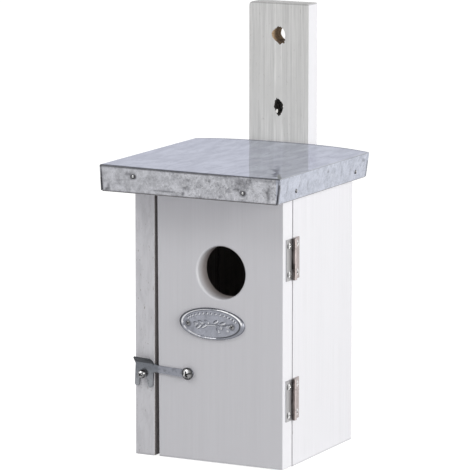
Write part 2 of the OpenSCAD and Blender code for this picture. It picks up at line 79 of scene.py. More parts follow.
camera_data = bpy.data.cameras.new("camera")
camera_data.lens = LENS_MM
camera_data.sensor_width = SENSOR_MM
camera_data.clip_start = 0.05
camera_data.clip_end = 50
camera = placed("camera", camera_data)
level = math.cos(PITCH)
looking = Vector((-math.sin(YAW) * level, math.cos(YAW) * level, -math.sin(PITCH)))
aim(camera, TARGET - looking * DISTANCE, looking)
bpy.context.scene.camera = camera
bpy.context.scene.view_settings.view_transform = "Standard"

# ---------------- materials


def is_socket(value):
    return isinstance(value, bpy.types.NodeSocket)


def add(kind, props=None, inputs=None, tree=None):
    """A shader node with its properties and inputs set.

    An input may be another node's socket; the node then goes into that socket's tree.
    """
    inputs = inputs or {}
    if tree is None:
        tree = next(value.id_data for value in inputs.values() if is_socket(value))
    made = tree.nodes.new("ShaderNode" + kind)
    for key, value in (props or {}).items():
        setattr(made, key, value)
    for key, value in inputs.items():
        if is_socket(value):
            tree.links.new(value, made.inputs[key])
        else:
            made.inputs[key].default_value = value
    return made


def plug(shader, name, value):
    shader.id_data.links.new(value, shader.inputs[name])


def empty_tree(owner):
    """The node tree of a material or world, without nodes."""
    owner.use_nodes = True
    owner.node_tree.nodes.clear()
    return owner.node_tree


def material(name, **values):
    """A new material; returns it with its Principled shader and its object coordinates."""
    made = bpy.data.materials.new(name)
    tree = empty_tree(made)
    shader = add("BsdfPrincipled", tree=tree)
    for key, value in values.items():
        shader.inputs[key.replace("_", " ")].default_value = value
    add("OutputMaterial", inputs={0: shader.outputs[0]})
    return made, shader, add("TexCoord", tree=tree).outputs["Object"]


def clouds(place, scale, detail=3, rough=0.5, warp=0, move=(0, 0, 0)):
    """Noise from 0 to 1; scale is per metre, one number or one for each axis."""
    if not hasattr(scale, "__len__"):
        scale = (scale,) * 3
    mapped = add("Mapping", inputs={"Vector": place, "Scale": scale, "Location": move}).outputs[0]
    inputs = {"Vector": mapped, "Scale": 1, "Detail": detail, "Roughness": rough, "Distortion": warp}
    return add("TexNoise", inputs=inputs).outputs[0]


def calc(operation, a, b=0.0, clamp=False):
    return add("Math", {"operation": operation, "use_clamp": clamp}, {0: a, 1: b}).outputs[0]


def product(a, b, clamp=False):
    return calc("MULTIPLY", a, b, clamp)


def spread(value, low, high, to_low=0.0, to_high=1.0):
    """Maps low..high of a value to to_low..to_high, clamped and smooth."""
    return add(
        "MapRange", {"interpolation_type": "SMOOTHSTEP"},
        {0: value, 1: low, 2: high, 3: to_low, 4: to_high},
    ).outputs[0]


def mix(factor, a, b, blend="MIX"):
    """Mixes two colours, each a socket or (red, green, blue)."""
    a, b = (colour if is_socket(colour) else (*colour, 1) for colour in (a, b))
    return add("Mix", {"data_type": "RGBA", "blend_type": blend}, {0: factor, 6: a, 7: b}).outputs[2]


def times(colour, k):
    return tuple(channel * k for channel in colour)


def grey(value):
    return (value,) * 3


def set_bump(shader, parts, strength=1.0):
    """Bumps the surface by the sum of value * depth for each (value, depth in metres)."""
    total = None
    for value, depth in parts:
        one = product(value, depth / MM)
        total = one if total is None else calc("ADD", total, one)
    bump = add("Bump", inputs={"Strength": strength, "Distance": MM, "Height": total})
    plug(shader, "Normal", bump.outputs[0])


def near(place, centre, radius, soft):
    """1 inside a ball around centre and 0 beyond its soft edge."""
    away = add("VectorMath", {"operation": "DISTANCE"}, {0: place, 1: centre}).outputs["Value"]
    return spread(away, radius, radius + soft, 1.0, 0.0)


def dirt_and_light_at(place):
    """A piece's own values from 0 to 1 of grime and painted shade on it, and down to -1 of painted highlight.
    """
    return add("Attribute", {"attribute_name": "dirt_and_light"}, tree=place.id_data).outputs["Fac"]


def component(place, direction):
    return add("VectorMath", {"operation": "DOT_PRODUCT"}, {0: place, 1: direction}).outputs["Value"]


def beyond(place, point, direction, soft):
    """0 on one side of a plane through a point and 1 on the side that the direction points to."""
    at = Vector(point).dot(Vector(direction))
    return spread(component(place, direction), at - soft / 2, at + soft / 2)


def strip(place, direction, at, half, soft):
    """1 in a flat layer of space across a direction and 0 beyond its soft edges."""
    away = calc("ABSOLUTE", calc("SUBTRACT", component(place, direction), at))
    return spread(away, half, half + soft, 1.0, 0.0)


def painted_wood(
    name, streak, scale, seed=0.0, colour=(0.79, 0.785, 0.83), shade=1.0, lines=(), depth_shade=None,
    top_shade=None, crisp=0.12, patches=0.0,
):
    """White paint over wood whose grain runs up and down.

    streak is how dark the streaks are, and a small crisp makes them sharp. lines are (x, half width, factor).
    fade is (front, back, colour): painted shade, the paint turns to that colour going back into a recess.
    cap is (height, factor): painted shade on a top, above that height the paint is darker. patches is how
    strong the patches of wear are.
    """

    def paint(k):
        return times(colour, shade * k)

    made, shader, place = material(name, Roughness=0.46)
    move = (seed, seed * 1.7, seed * 0.3)
    fine = clouds(place, (scale, scale, scale / 45), 3, 0.55, 0.2, move)
    wide = clouds(place, (scale / 4, scale / 4, scale / 220), 2, 0.5, 0.3, move)
    dull = clouds(place, 45, 3, 0.55, 0, move)
    grain = calc("ADD", product(fine, 0.55), product(wide, 0.45))
    dark = spread(grain, 0.5 - crisp, 0.5 + crisp, 1.0, 0.0)
    tone = mix(dark, paint(1), paint(1 - streak))
    tone = mix(spread(dull, 0.35, 0.75, 0.0, 1.0), tone, paint(1 - streak * 0.4))
    broken = clouds(place, (60, 60, 25), 2, 0.5, 0.2, move)
    for x, half, factor in lines:
        here = product(strip(place, (1, 0, 0), x, half, half), spread(broken, 0.3, 0.6))
        tone = mix(here, tone, paint(factor))
    if patches:
        blotchy = clouds(place, (230, 230, 60), 4, 0.65, 0.5, move)
        tone = mix(spread(blotchy, 0.42, 0.62, 0.0, patches), tone, paint(0.72))
        specks = clouds(place, (800, 800, 260), 2, 0.6, 0.3, move)
        tone = mix(spread(specks, 0.66, 0.74, 0.0, patches * 2), tone, (0.30, 0.27, 0.25))
    # Painted shade: the paint is darker in the bottom millimetre, where the boards stand on the floor.
    low = beyond(place, (0, 0, 1.0 * MM), (0, 0, -1), 1.2 * MM)
    tone = mix(product(low, 0.6), tone, paint(0.66))
    # Painted shade on a top: darker paint above the given height.
    if top_shade:
        high = beyond(place, (0, 0, top_shade[0]), (0, 0, 1), 0.5 * MM)
        tone = mix(high, tone, grey(top_shade[1]), "MULTIPLY")
    # Painted shade in a recess: the paint turns darker going back.
    if depth_shade:
        tone = mix(spread(component(place, BACK), depth_shade[0], depth_shade[1]), tone, depth_shade[2])
    tone = mix(dirt_and_light_at(place), tone, (0.13, 0.12, 0.12))
    plug(shader, "Base Color", tone)
    plug(shader, "Roughness", spread(fine, 0.3, 0.7, 0.42, 0.52))
    peel = clouds(place, 700, 2, 0.5, 0, move)
    set_bump(shader, [(grain, 0.10 * MM), (peel, 0.02 * MM)], 0.6)
    return made


def raw_wood(name, colour, scale=500.0, contrast=0.45, depth=0.12):
    """Bare wood whose grain runs up and down."""
    made, shader, place = material(name, Roughness=0.8)
    fine = clouds(place, (scale, scale, scale / 30), 4, 0.6, 0.4)
    tone = mix(spread(fine, 0.3, 0.7), times(colour, 1 - contrast), times(colour, 1.15))
    plug(shader, "Base Color", tone)
    set_bump(shader, [(fine, depth * MM)])
    return made


# The dark colour of the roof's stains and of its painted shade.
ZINC_DIRT_AND_SHADE = (0.035, 0.035, 0.042)


def zinc_top(name):
    """Smooth bluish sheet with faint dull dashes, on the top of the roof."""
    made, shader, place = material(name, Metallic=0.42, IOR=1.03, Specular_Tint=(0.74, 0.76, 1.0, 1))
    colour = (0.643, 0.663, 0.675)
    dashes = clouds(place, (150, 50, 150), 4, 0.6, 0.4)
    cloudy = clouds(place, 32, 3, 0.55)
    fine = clouds(place, (420, 130, 420), 3, 0.6)
    tone = mix(spread(dashes, 0.35, 0.65), times(colour, 0.86), times(colour, 1.08))
    tone = mix(spread(cloudy, 0.45, 0.75, 0.0, 0.5), tone, times(colour, 0.90))
    tone = mix(spread(fine, 0.52, 0.72, 0.0, 0.5), tone, times(colour, 0.86))
    tone = mix(dirt_and_light_at(place), tone, ZINC_DIRT_AND_SHADE)
    plug(shader, "Base Color", tone)
    plug(shader, "Roughness", spread(cloudy, 0.3, 0.7, 0.03, 0.055))
    set_bump(shader, [(dashes, 0.010 * MM), (cloudy, 0.03 * MM)], 0.5)
    return made


def zinc_rim(name):
    """Mottled grey zinc on the folded rims."""
    made, shader, place = material(name, Metallic=0.7)
    colour = (0.54, 0.545, 0.585)
    spots = clouds(place, 780, 3, 0.65, 0.6)
    patches = clouds(place, 190, 4, 0.65, 0.5)
    wide = clouds(place, (45, 45, 90), 3, 0.55)
    wear_and_sheen = beyond(place, (-12 * MM, 0, 0), RIGHT, 50 * MM)
    side = beyond(place, (57.5 * MM, 0, 0), RIGHT, 0.6 * MM)
    calm = calc("SUBTRACT", 1.0, product(side, 0.45))
    base = mix(side, colour, (0.51, 0.535, 0.62))
    patchy = product(spread(patches, 0.36, 0.64), calm)
    tone = mix(patchy, base, grey(0.72), "MULTIPLY")
    tone = mix(spread(wide, 0.35, 0.65, 0.0, 0.30), tone, grey(0.80), "MULTIPLY")
    rough_part = product(spread(wear_and_sheen, 0.0, 1.0, 0.45, 1.0), calm)
    low = product(spread(spots, 0.34, 0.47, 1.0, 0.0), rough_part)
    high = product(spread(spots, 0.55, 0.68), rough_part)
    tone = mix(low, tone, grey(0.62), "MULTIPLY")
    tone = mix(product(high, 0.5), tone, (0.80, 0.80, 0.82))
    tone = mix(dirt_and_light_at(place), tone, ZINC_DIRT_AND_SHADE)
    plug(shader, "Base Color", tone)
    plug(shader, "Roughness", spread(patches, 0.3, 0.7, 0.36, 0.55))
    set_bump(shader, [(spots, 0.03 * MM), (patches, 0.05 * MM)], 0.7)
    return made


def metal(name, colour, rough, mottle=0.12, grain=900.0, depth=0.015, metallic=1.0, dirt_and_painted_light=(0.03, 0.03, 0.032)):
    """Plain worked metal with small stains and scratches, darker for its grime and painted shade and paler
    for its painted highlight.
    """
    made, shader, place = material(name, Metallic=metallic)
    fine = clouds(place, grain, 3, 0.6, 0.3)
    stains = clouds(place, 260, 3, 0.6, 0.6)
    tone = mix(spread(stains, 0.4, 0.7), colour, times(colour, 1 - mottle * 2))
    tone = mix(spread(fine, 0.35, 0.65), tone, times(colour, 1 - mottle))
    # Positive values darken to the dark colour: grime and painted shade. Negative values pale to near white:
    # painted highlight.
    tone = mix(dirt_and_light_at(place), tone, dirt_and_painted_light)
    tone = mix(product(dirt_and_light_at(place), -1.0, True), tone, (0.93, 0.93, 0.94))
    plug(shader, "Base Color", tone)
    plug(shader, "Roughness", spread(stains, 0.3, 0.7, rough * 0.8, rough * 1.3))
    set_bump(shader, [(fine, depth * MM)])
    return made, shader, place, tone


# ---------------- geometry


def turn_out(bm):
    """Makes every face of a closed mesh look outwards."""
    bmesh.ops.recalc_face_normals(bm, faces=bm.faces)
    if bm.calc_volume(signed=True) < 0:
        bmesh.ops.reverse_faces(bm, faces=bm.faces)


def make(name, bm, body, nodes, materials, smooth_angle=35):
    """Finishes a piece: normals, smoothing, materials, body and the CAD nodes that it stands for."""
    turn_out(bm)
    mesh = bpy.data.meshes.new(name)
    bm.to_mesh(mesh)
    bm.free()
    mesh.shade_smooth()
    mesh.set_sharp_from_angle(angle=math.radians(smooth_angle))
    for one in materials:
        mesh.materials.append(one)
    piece = placed(name, mesh)
    piece.modifiers.new("normals", "WEIGHTED_NORMAL").keep_sharp = True
    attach(piece, body)
    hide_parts(*nodes)


def block(lo, hi):
    bm = bmesh.new()
    bmesh.ops.create_cube(bm, size=1)
    for v in bm.verts:
        v.co = Vector([lo[i] if v.co[i] < 0 else hi[i] for i in range(3)])
    return bm


def skin(bm, rings):
    """Faces between each ring of points and the next; a ring may be one point."""
    for low, high in zip(rings, rings[1:]):
        count = max(len(low), len(high))
        for i in range(count):
            j = (i + 1) % count
            corners = [low[i % len(low)], low[j % len(low)], high[j % len(high)], high[i % len(high)]]
            bm.faces.new(list(dict.fromkeys(corners)))


def lathe(profile, segments=48):
    """A solid turned around Z from (radius, height) points; it ends on the axis at both ends."""
    bm = bmesh.new()
    turns = [2 * math.pi * i / segments for i in range(segments)]
    rings = []
    for r, z in profile:
        around = [(r * math.cos(a), r * math.sin(a), z) for a in turns] if r > 0 else [(0, 0, z)]
        rings.append([bm.verts.new(co) for co in around])
    skin(bm, rings)
    bmesh.ops.recalc_face_normals(bm, faces=bm.faces)
    return bm


def temporary(bm, name):
    """An object that is there only while its modifiers work."""
    mesh = bpy.data.meshes.new(name)
    bm.to_mesh(mesh)
    bm.free()
    return placed(name, mesh)


def applied(piece):
    """The shape of a temporary object with its modifiers, as a new bmesh; the object goes."""
    bpy.context.view_layer.update()
    view = bpy.context.evaluated_depsgraph_get()
    bm = bmesh.new()
    bm.from_mesh(bpy.data.meshes.new_from_object(piece.evaluated_get(view)))
    bpy.data.objects.remove(piece)
    return bm


def subtract(bm, cutters):
    """Cuts solids out of a solid; returns the rest as a new bmesh."""
    for solid in (bm, *cutters):
        turn_out(solid)
    whole = temporary(bm, "cutter")
    cutting = [temporary(one, "cutter") for one in cutters]
    for one in cutting:
        cut = whole.modifiers.new("cut", "BOOLEAN")
        cut.operation = "DIFFERENCE"
        cut.solver = "EXACT"
        cut.object = one
    rest = applied(whole)
    for one in cutting:
        bpy.data.objects.remove(one)
    bmesh.ops.remove_doubles(rest, verts=rest.verts, dist=1e-7)
    return rest


def upright(e):
    d = (e.verts[0].co - e.verts[1].co).normalized()
    return abs(d.z) > 0.98


def ease(bm, test, width, segments=3, least=0.5):
    """Rounds the sharp edges that pass the test."""
    edges = [e for e in bm.edges if e.is_manifold and e.calc_face_angle(0) > least and test(e)]
    bmesh.ops.bevel(
        bm, geom=edges, offset=width, segments=segments, profile=0.5, affect="EDGES", clamp_overlap=True
    )


def smooth(t):
    t = max(0.0, min(1.0, t))
    return t * t * (3 - 2 * t)


def dirt_and_light_layer(bm):
    return bm.verts.layers.float.get("dirt_and_light") or bm.verts.layers.float.new("dirt_and_light")


def dirt_and_light(bm, amount):
    """Gives every point of a piece its own amount of grime and painted shade, or of painted highlight below
    0.
    """
    layer = dirt_and_light_layer(bm)
    for v in bm.verts:
        v[layer] = amount(v.co)


def merge(bm, part):
    """Moves a part into a piece, with its amounts of grime and painted light."""
    ours = dirt_and_light_layer(bm)
    theirs = part.verts.layers.float.get("dirt_and_light")
    twins = {}
    for v in part.verts:
        twins[v] = bm.verts.new(v.co)
        twins[v][ours] = v[theirs] if theirs else 0.0
    for f in part.faces:
        bm.faces.new([twins[v] for v in f.verts]).material_index = f.material_index
    part.free()


def tint(bm, index, test):
    """Gives the faces that pass the test another of the piece's materials."""
    for f in bm.faces:
        if test(f):
            f.material_index = index


def solids(node):
    """The (low, high) boxes of the separate solids in a CAD node."""
    bm = bmesh.new()
    bm.from_mesh(frame["nodes"][node].data)
    bmesh.ops.remove_doubles(bm, verts=bm.verts, dist=1e-6)
    left, found = set(bm.verts), []
    while left:
        group, todo = [], [left.pop()]
        while todo:
            group.append(todo.pop())
            fresh = {e.other_vert(group[-1]) for e in group[-1].link_edges} & left
            left -= fresh
            todo += fresh
        co = np.array([v.co[:] for v in group])
        found.append((Vector(co.min(0)), Vector(co.max(0))))
    bm.free()
    return sorted(found, key=lambda b: (b[0].z, b[0].x, b[0].y))


def outer(box, out):
    """The middle of a box's outer side in a direction, and the box's radius across it and length along it."""
    lo, hi = box
    middle = (lo + hi) / 2
    axis = max(range(3), key=lambda i: abs(out[i]))
    middle[axis] = hi[axis] if out[axis] > 0 else lo[axis]
    across = [hi[i] - lo[i] for i in range(3) if i != axis]
    return middle, max(across) / 2, hi[axis] - lo[axis]


def facing(place, out, roll=0.0):
    """A matrix that puts a lathe's top at a place, with its axis pointing out."""
    turn = out.to_track_quat("Z", "Y").to_matrix().to_4x4()
    return Matrix.Translation(place) @ turn @ Matrix.Rotation(roll, 4, "Z")


# ---------------- wood

PAINT_DOOR = painted_wood("paint_door", 0.035, 700, 1.3)
PAINT_WALL = painted_wood("paint_wall", 0.05, 800, 4.1, shade=0.975)
PAINT_EDGE = painted_wood("paint_edge_grain", 0.07, 900, 2.2, shade=1.02, crisp=0.2, patches=0.38)
# Streaks on the slat: place across it in mm, half width in mm and factor
SLAT_STREAKS = (
    (-4.1, 0.35, 1.22), (6.9, 0.35, 0.80), (3.5, 0.3, 0.86), (-11.7, 0.4, 0.84), (12.6, 0.3, 0.90),
    (-17.2, 0.3, 0.90), (0.4, 0.25, 1.12),
)
SLAT_LINES = [(x * MM, half * MM, factor) for x, half, factor in SLAT_STREAKS]
# Above SLAT_TOP the slat's paint is darker: painted shade on its top face and top edges.
SLAT_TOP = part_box("mounting_slat")[1].z - 0.9 * MM
PAINT_SLAT = painted_wood(
    "paint_slat", 0.18, 1300, 7.7, colour=(0.832, 0.826, 0.826), lines=SLAT_LINES, top_shade=(SLAT_TOP, 0.72),
    crisp=0.09, patches=0.12,
)
PAINT_SLAT_SIDE = painted_wood("paint_slat_side", 0.03, 620, 9.7, top_shade=(SLAT_TOP, 0.72))
# Bare wood inside the cavity, much darker than bare pine: painted shade that makes the cavity read dark.
CAVITY_SHADE_WOOD = raw_wood("raw_wood_darkened_as_shade", (0.17, 0.15, 0.145), contrast=0.15)
GAP_WOOD = raw_wood("wall_raw_wood", (0.36, 0.34, 0.335), contrast=0.2)
# The roof board's edges behind the rims, near black: painted shade in the corner seams and under the rims.
BOARD_EDGE_SHADE = raw_wood("board_edge_painted_shade", (0.13, 0.12, 0.115))
SPLINTER = raw_wood("splinter", (0.95, 0.94, 0.92), 900, 0.1, 0.05)

right_lo, right_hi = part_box("right_wall")
door_lo, door_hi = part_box("door")
inner_left, inner_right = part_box("left_wall")[1].x, right_lo.x
door_back, inner_back = door_hi.y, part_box("back_wall")[0].y
EDGE_R = 0.4 * MM
WALL_LEAN = 0.3 * MM
WALL_FOOT = 0.6 * MM


def long_upright(e):
    return upright(e) and e.calc_length() > 50 * MM


def wall(name, node, inward):
    """A side wall: painted outside, bare on the face towards the cavity. The left one leans a little."""
    lo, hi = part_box(node)
    middle = (lo + hi) / 2
    bm = block(lo, hi)
    for v in bm.verts if inward == RIGHT else ():
        outside, high = v.co.x < middle.x, v.co.z > middle.z
        if outside and high:
            v.co.x += WALL_LEAN
        elif not outside and not high:
            v.co.x -= WALL_FOOT
    ease(bm, long_upright, EDGE_R)
    ease(bm, lambda e: not long_upright(e), 0.15 * MM, 2, 0.9)
    tint(bm, 1, lambda f: f.normal.dot(inward) > 0.9)
    tint(bm, 2, lambda f: f.normal.y < -0.3 and abs(f.normal.z) < 0.7)
    make(name, bm, "box", [node], [PAINT_WALL, GAP_WOOD, PAINT_EDGE])


def board(name, node, bare):
    """A painted board with its bare faces."""
    bm = block(*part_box(node))
    ease(bm, lambda e: True, 0.3 * MM, 2)
    tint(bm, 1, bare)
    make(name, bm, "box", [node], [PAINT_WALL, CAVITY_SHADE_WOOD])


wall("left_wall_painted", "left_wall", RIGHT)
wall("right_wall_painted", "right_wall", LEFT)
board("back_wall_painted", "back_wall", lambda f: f.normal.y < -0.9)
board("floor_board", "floor", lambda f: f.normal.z > 0.3 or f.normal.y < -0.3)

# The roof board, bare over the cavity
RIM_LEAN_LEFT, RIM_LEAN_RIGHT = 0.9 * MM, 2.1 * MM
lo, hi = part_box("roof_board")
bm = block(lo, hi)
for v in bm.verts:
    if v.co.z < (lo.z + hi.z) / 2:
        v.co.x += RIM_LEAN_LEFT if v.co.x < 0 else -RIM_LEAN_RIGHT
for x, y, across in (
    (inner_left, 0, RIGHT), (inner_right, 0, RIGHT), (0, door_back, BACK), (0, inner_back, BACK),
):
    everything = bm.verts[:] + bm.edges[:] + bm.faces[:]
    bmesh.ops.bisect_plane(bm, geom=everything, plane_co=(x, y, 0), plane_no=across)


def over_cavity(f):
    c = f.calc_center_median()
    return f.normal.z < -0.9 and inner_left < c.x < inner_right and door_back < c.y < inner_back


tint(bm, 1, over_cavity)
tint(bm, 2, lambda f: abs(f.normal.z) < 0.5 and f.normal.y < 0.5)
ease(bm, lambda e: True, 0.15 * MM, 2, 0.9)
make("roof_board_painted", bm, "box", ["roof_board"], [PAINT_WALL, CAVITY_SHADE_WOOD, BOARD_EDGE_SHADE])

# The door, with its leaning left edge and its entrance hole
HOLE_RIGHT = 7.9 * MM
HOLE_Z = 116.8 * MM
HOLE_R = 16 * MM
HOLE_LIP = 1.2 * MM
DOOR_LEAN = 0.8 * MM
DOOR_SAG = 0.4 * MM
PAST = 2 * MM  # how far a cutter runs past what it cuts
hole = Vector((HOLE_RIGHT, 0, HOLE_Z))


def bore(centre, radius, y0, y1, segments=72):
    """A cylinder along Y."""
    bm = lathe([(0, 0), (radius, 0), (radius, y1 - y0), (0, y1 - y0)], segments)
    bm.transform(Matrix.Translation((centre.x, y1, centre.z)) @ Matrix.Rotation(math.pi / 2, 4, "X"))
    return bm


def off_axis(co, centre):
    """The distance from a line along Y."""
    return math.hypot(co.x - centre.x, co.z - centre.z)


def on_rim(e):
    level = abs(e.verts[0].co.y - e.verts[1].co.y) < 1e-6
    return level and all(abs(off_axis(v.co, hole) - HOLE_R) <= 0.05 * MM for v in e.verts)


bm = block(door_lo, door_hi)
for v in bm.verts:
    if v.co.x < 0 and v.co.z < HOLE_Z:
        v.co.x += DOOR_LEAN
    if v.co.x > 0 and v.co.z < HOLE_Z:
        v.co.z += DOOR_SAG
bm = subtract(bm, [bore(hole, HOLE_R, door_lo.y - PAST, door_hi.y + PAST)])
ease(bm, lambda e: on_rim(e) and e.verts[0].co.y < door_lo.y + 1e-5, HOLE_LIP, 5)
ease(bm, lambda e: on_rim(e), 0.4 * MM, 2)
ease(bm, lambda e: upright(e) and abs(e.verts[0].co.x - hole.x) > 20 * MM, EDGE_R)
ease(bm, lambda e: abs(e.verts[0].co.x - e.verts[1].co.x) > 30 * MM, 0.15 * MM, 2, 0.9)
tint(bm, 1, lambda f: f.normal.y > 0.9)


def in_entrance(f):
    return off_axis(f.calc_center_median(), hole) < HOLE_R + HOLE_LIP and abs(f.normal.y) < 0.8


tint(bm, 2, in_entrance)
# The bore: the door's paint with painted shade, darker overall and darker still going back into the hole.
PAINT_BORE_SHADED = painted_wood(
    "paint_bore_painted_shade", 0.03, 700, 1.3, shade=0.88, depth_shade=(door_lo.y, door_hi.y - 2 * MM, (0.50, 0.45, 0.44))
)
make("door_painted", bm, "door", ["door"], [PAINT_DOOR, CAVITY_SHADE_WOOD, PAINT_BORE_SHADED])

# The slat, with its rounded top corners and two rough holes
SLAT_CORNER_LEFT, SLAT_CORNER_RIGHT = 2.5 * MM, 1 * MM
SLAT_HOLE_R = 4.5 * MM
slat_lo, slat_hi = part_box("mounting_slat")
slat_x = (slat_lo.x + slat_hi.x) / 2
mount = [m for m in frame["record"]["mounts"] if m["kind"] == "bolt_pattern"][0]
half_gap = mount["dims"]["spacing_y_mm"] * MM / 2
holes = [Vector((slat_x, 0, mount["pos_m"][2] + half_gap)), Vector((slat_x, 0, mount["pos_m"][2] - half_gap))]


def rough_bore(centre, radius, y0, y1, seed, squeeze=(1, 1), depth=0.5, tears=(), waist=0.0):
    """A torn hole along Y: its wall wanders from a circle, with fibres that run up and down.

    tears are (direction in degrees, share of the radius) that widen its front; waist narrows its middle.
    """
    segments, rows = 72, 18
    bm = bmesh.new()
    rings = []
    for k in range(rows + 1):
        y = y0 + (y1 - y0) * k / rows
        inside = (y - slat_lo.y) / MM
        ring = []
        for i in range(segments):
            a = 2 * math.pi * i / segments
            px, pz = math.cos(a), math.sin(a)
            tear = noise.noise(Vector((px * 2.3 + seed, y / MM * 0.22, pz * 1.4)))
            fibre = noise.noise(Vector((px * 9 + seed, y / MM * 0.6, pz * 2.2)))
            r = radius - depth * MM * (0.75 * abs(tear) + 0.5 * max(0, fibre)) - 0.05 * MM
            for towards, share in tears:
                off = abs((math.degrees(a) - towards + 180) % 360 - 180)
                ragged = 1 + 0.8 * noise.noise(Vector((px * 6 + seed, 0.3, pz * 6)))
                r *= 1 + share * ragged * smooth(1 - off / 55) * smooth(1 - (inside + 1) / 3.5)
            r *= 1 - waist * smooth(1 - abs(inside - 6) / 4)
            ring.append(bm.verts.new((centre.x + px * r * squeeze[0], y, centre.z + pz * r * squeeze[1])))
        rings.append(ring)
    skin(bm, rings)
    bm.faces.new(rings[0])
    bm.faces.new(rings[-1])
    return bm


def hole_wood_and_shade(name):
    """Torn wood in the slat's holes: tan on the left; dark brown elsewhere and darkest in the lower hole,
    which is painted shade.
    """
    made, shader, place = material(name, Roughness=0.85)
    fibres = clouds(place, (1100, 1100, 160), 4, 0.65, 0.5)
    tan = mix(spread(fibres, 0.3, 0.7), (0.36, 0.25, 0.15), (0.60, 0.44, 0.29))
    brown = mix(spread(fibres, 0.42, 0.66), (0.05, 0.035, 0.025), (0.34, 0.24, 0.16))
    # Painted shade: dark brown right of the hole's left side, and near black in the lower hole.
    tone = mix(beyond(place, (slat_x - 2.2 * MM, 0, 0), RIGHT, 2.5 * MM), tan, brown)
    black = mix(spread(fibres, 0.50, 0.70), (0.012, 0.011, 0.010), (0.20, 0.18, 0.16))
    halfway = (holes[0].z + holes[1].z) / 2
    tone = mix(beyond(place, (0, 0, halfway), (0, 0, -1), 2 * MM), tone, black)
    plug(shader, "Base Color", tone)
    set_bump(shader, [(fibres, 0.3 * MM)])
    return made


bm = block(slat_lo, slat_hi)
for side, width in ((-1, SLAT_CORNER_LEFT), (1, SLAT_CORNER_RIGHT)):

    def top_corner(e):
        runs_through = abs(e.verts[0].co.y - e.verts[1].co.y) > 5 * MM
        high = e.verts[0].co.z > (slat_lo.z + slat_hi.z) / 2
        return runs_through and high and (e.verts[0].co.x - slat_x) * side > 15 * MM

    ease(bm, top_corner, width, 6)
ease(bm, lambda e: True, 0.25 * MM, 2, 0.9)
front, behind = slat_lo.y - PAST, slat_hi.y + PAST
upper = rough_bore(holes[0], SLAT_HOLE_R, front, behind, 3.1, tears=((80, 0.22), (-65, 0.55), (170, 0.12)))
lower = rough_bore(
    holes[1], SLAT_HOLE_R * 0.95, front, behind, 8.4, (0.80, 1.0), 1.2, ((105, 0.40), (-95, 0.45)), 0.42
)
bm = subtract(bm, [upper, lower])

# A splinter that stands in the lower hole
SPLINTER_INDEX = 3
flake = bmesh.new()
bmesh.ops.create_icosphere(flake, subdivisions=3, radius=1)
for v in flake.verts:
    ragged = 1 + 0.25 * noise.noise(v.co * 1.7)
    v.co = Vector((v.co.x * 1.25, v.co.y * 0.7, v.co.z * 1.8)) * MM * ragged
    v.co.x += 0.25 * v.co.z
    v.co += Vector((holes[1].x - 2.1 * MM, slat_lo.y + 0.9 * MM, holes[1].z - 3.3 * MM))
for f in flake.faces:
    f.material_index = SPLINTER_INDEX
merge(bm, flake)


def in_slat_hole(f):
    near_hole = min(off_axis(f.calc_center_median(), h) for h in holes) < SLAT_HOLE_R * 1.8
    return near_hole and abs(f.normal.y) < 0.95 and f.material_index != SPLINTER_INDEX


tint(bm, 2, lambda f: abs(f.normal.x) > 0.7 and f.material_index != SPLINTER_INDEX)
tint(bm, 1, in_slat_hole)
make(
    "slat_painted", bm, "box", ["mounting_slat"],
    [PAINT_SLAT, hole_wood_and_shade("slat_hole_wood_and_shade"), PAINT_SLAT_SIDE, SPLINTER],
)

# ---------------- roof

SHEET_T = 0.6 * MM
FOLD_R = 0.7 * MM
FOLD_STEPS = 8
SHEET_LIFT = 0.55 * MM
CROWN_H = 2.3 * MM
CROWN_L = 48 * MM
SEAM_PULL = 1.5 * MM
sheet_lo, sheet_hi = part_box("roof_sheet")
roof_top = sheet_hi.z - CROWN_H


def fold(start, end, steps_flat, step_flange=18, both=True):
    """Points along one direction of the sheet: (place, drop below the top)."""
    out = []
    rim = roof_top - sheet_lo.z
    for k in range(step_flange + 1):
        out.append((start, rim - (rim - FOLD_R) * k / step_flange))
    for k in range(1, FOLD_STEPS):
        a = math.pi / 2 * k / FOLD_STEPS
        out.append((start + FOLD_R * (1 - math.cos(a)), FOLD_R * (1 - math.sin(a))))
    stop = end - FOLD_R if both else end
    for k in range(steps_flat + 1):
        out.append((start + FOLD_R + (stop - start - FOLD_R) * k / steps_flat, 0.0))
    if both:
        out += [(start + end - p, d) for p, d in reversed(out[: step_flange + FOLD_STEPS])]
    return out


COLUMNS = fold(sheet_lo.x, sheet_hi.x, 170)
ROWS = fold(sheet_lo.y, sheet_hi.y, 150, both=False)
half_flat = (sheet_hi.x - sheet_lo.x) / 2 - FOLD_R
rim_h = roof_top - sheet_lo.z
NAILS = {}
for side, axis in (("front", 0), ("left", 1), ("right", 1)):
    middles = [(low + high) / 2 for low, high in solids(f"roof_nails_{side}")]
    NAILS[side] = [(middle[axis] / MM, middle.z / MM) for middle in middles]


def rim_lean(x, z):
    """How far in a side rim has bent at a height."""
    low = min(1.0, max(0.0, (roof_top - FOLD_R - z) / (rim_h - FOLD_R)))
    return (RIM_LEAN_LEFT if x < 0 else -RIM_LEAN_RIGHT) * low


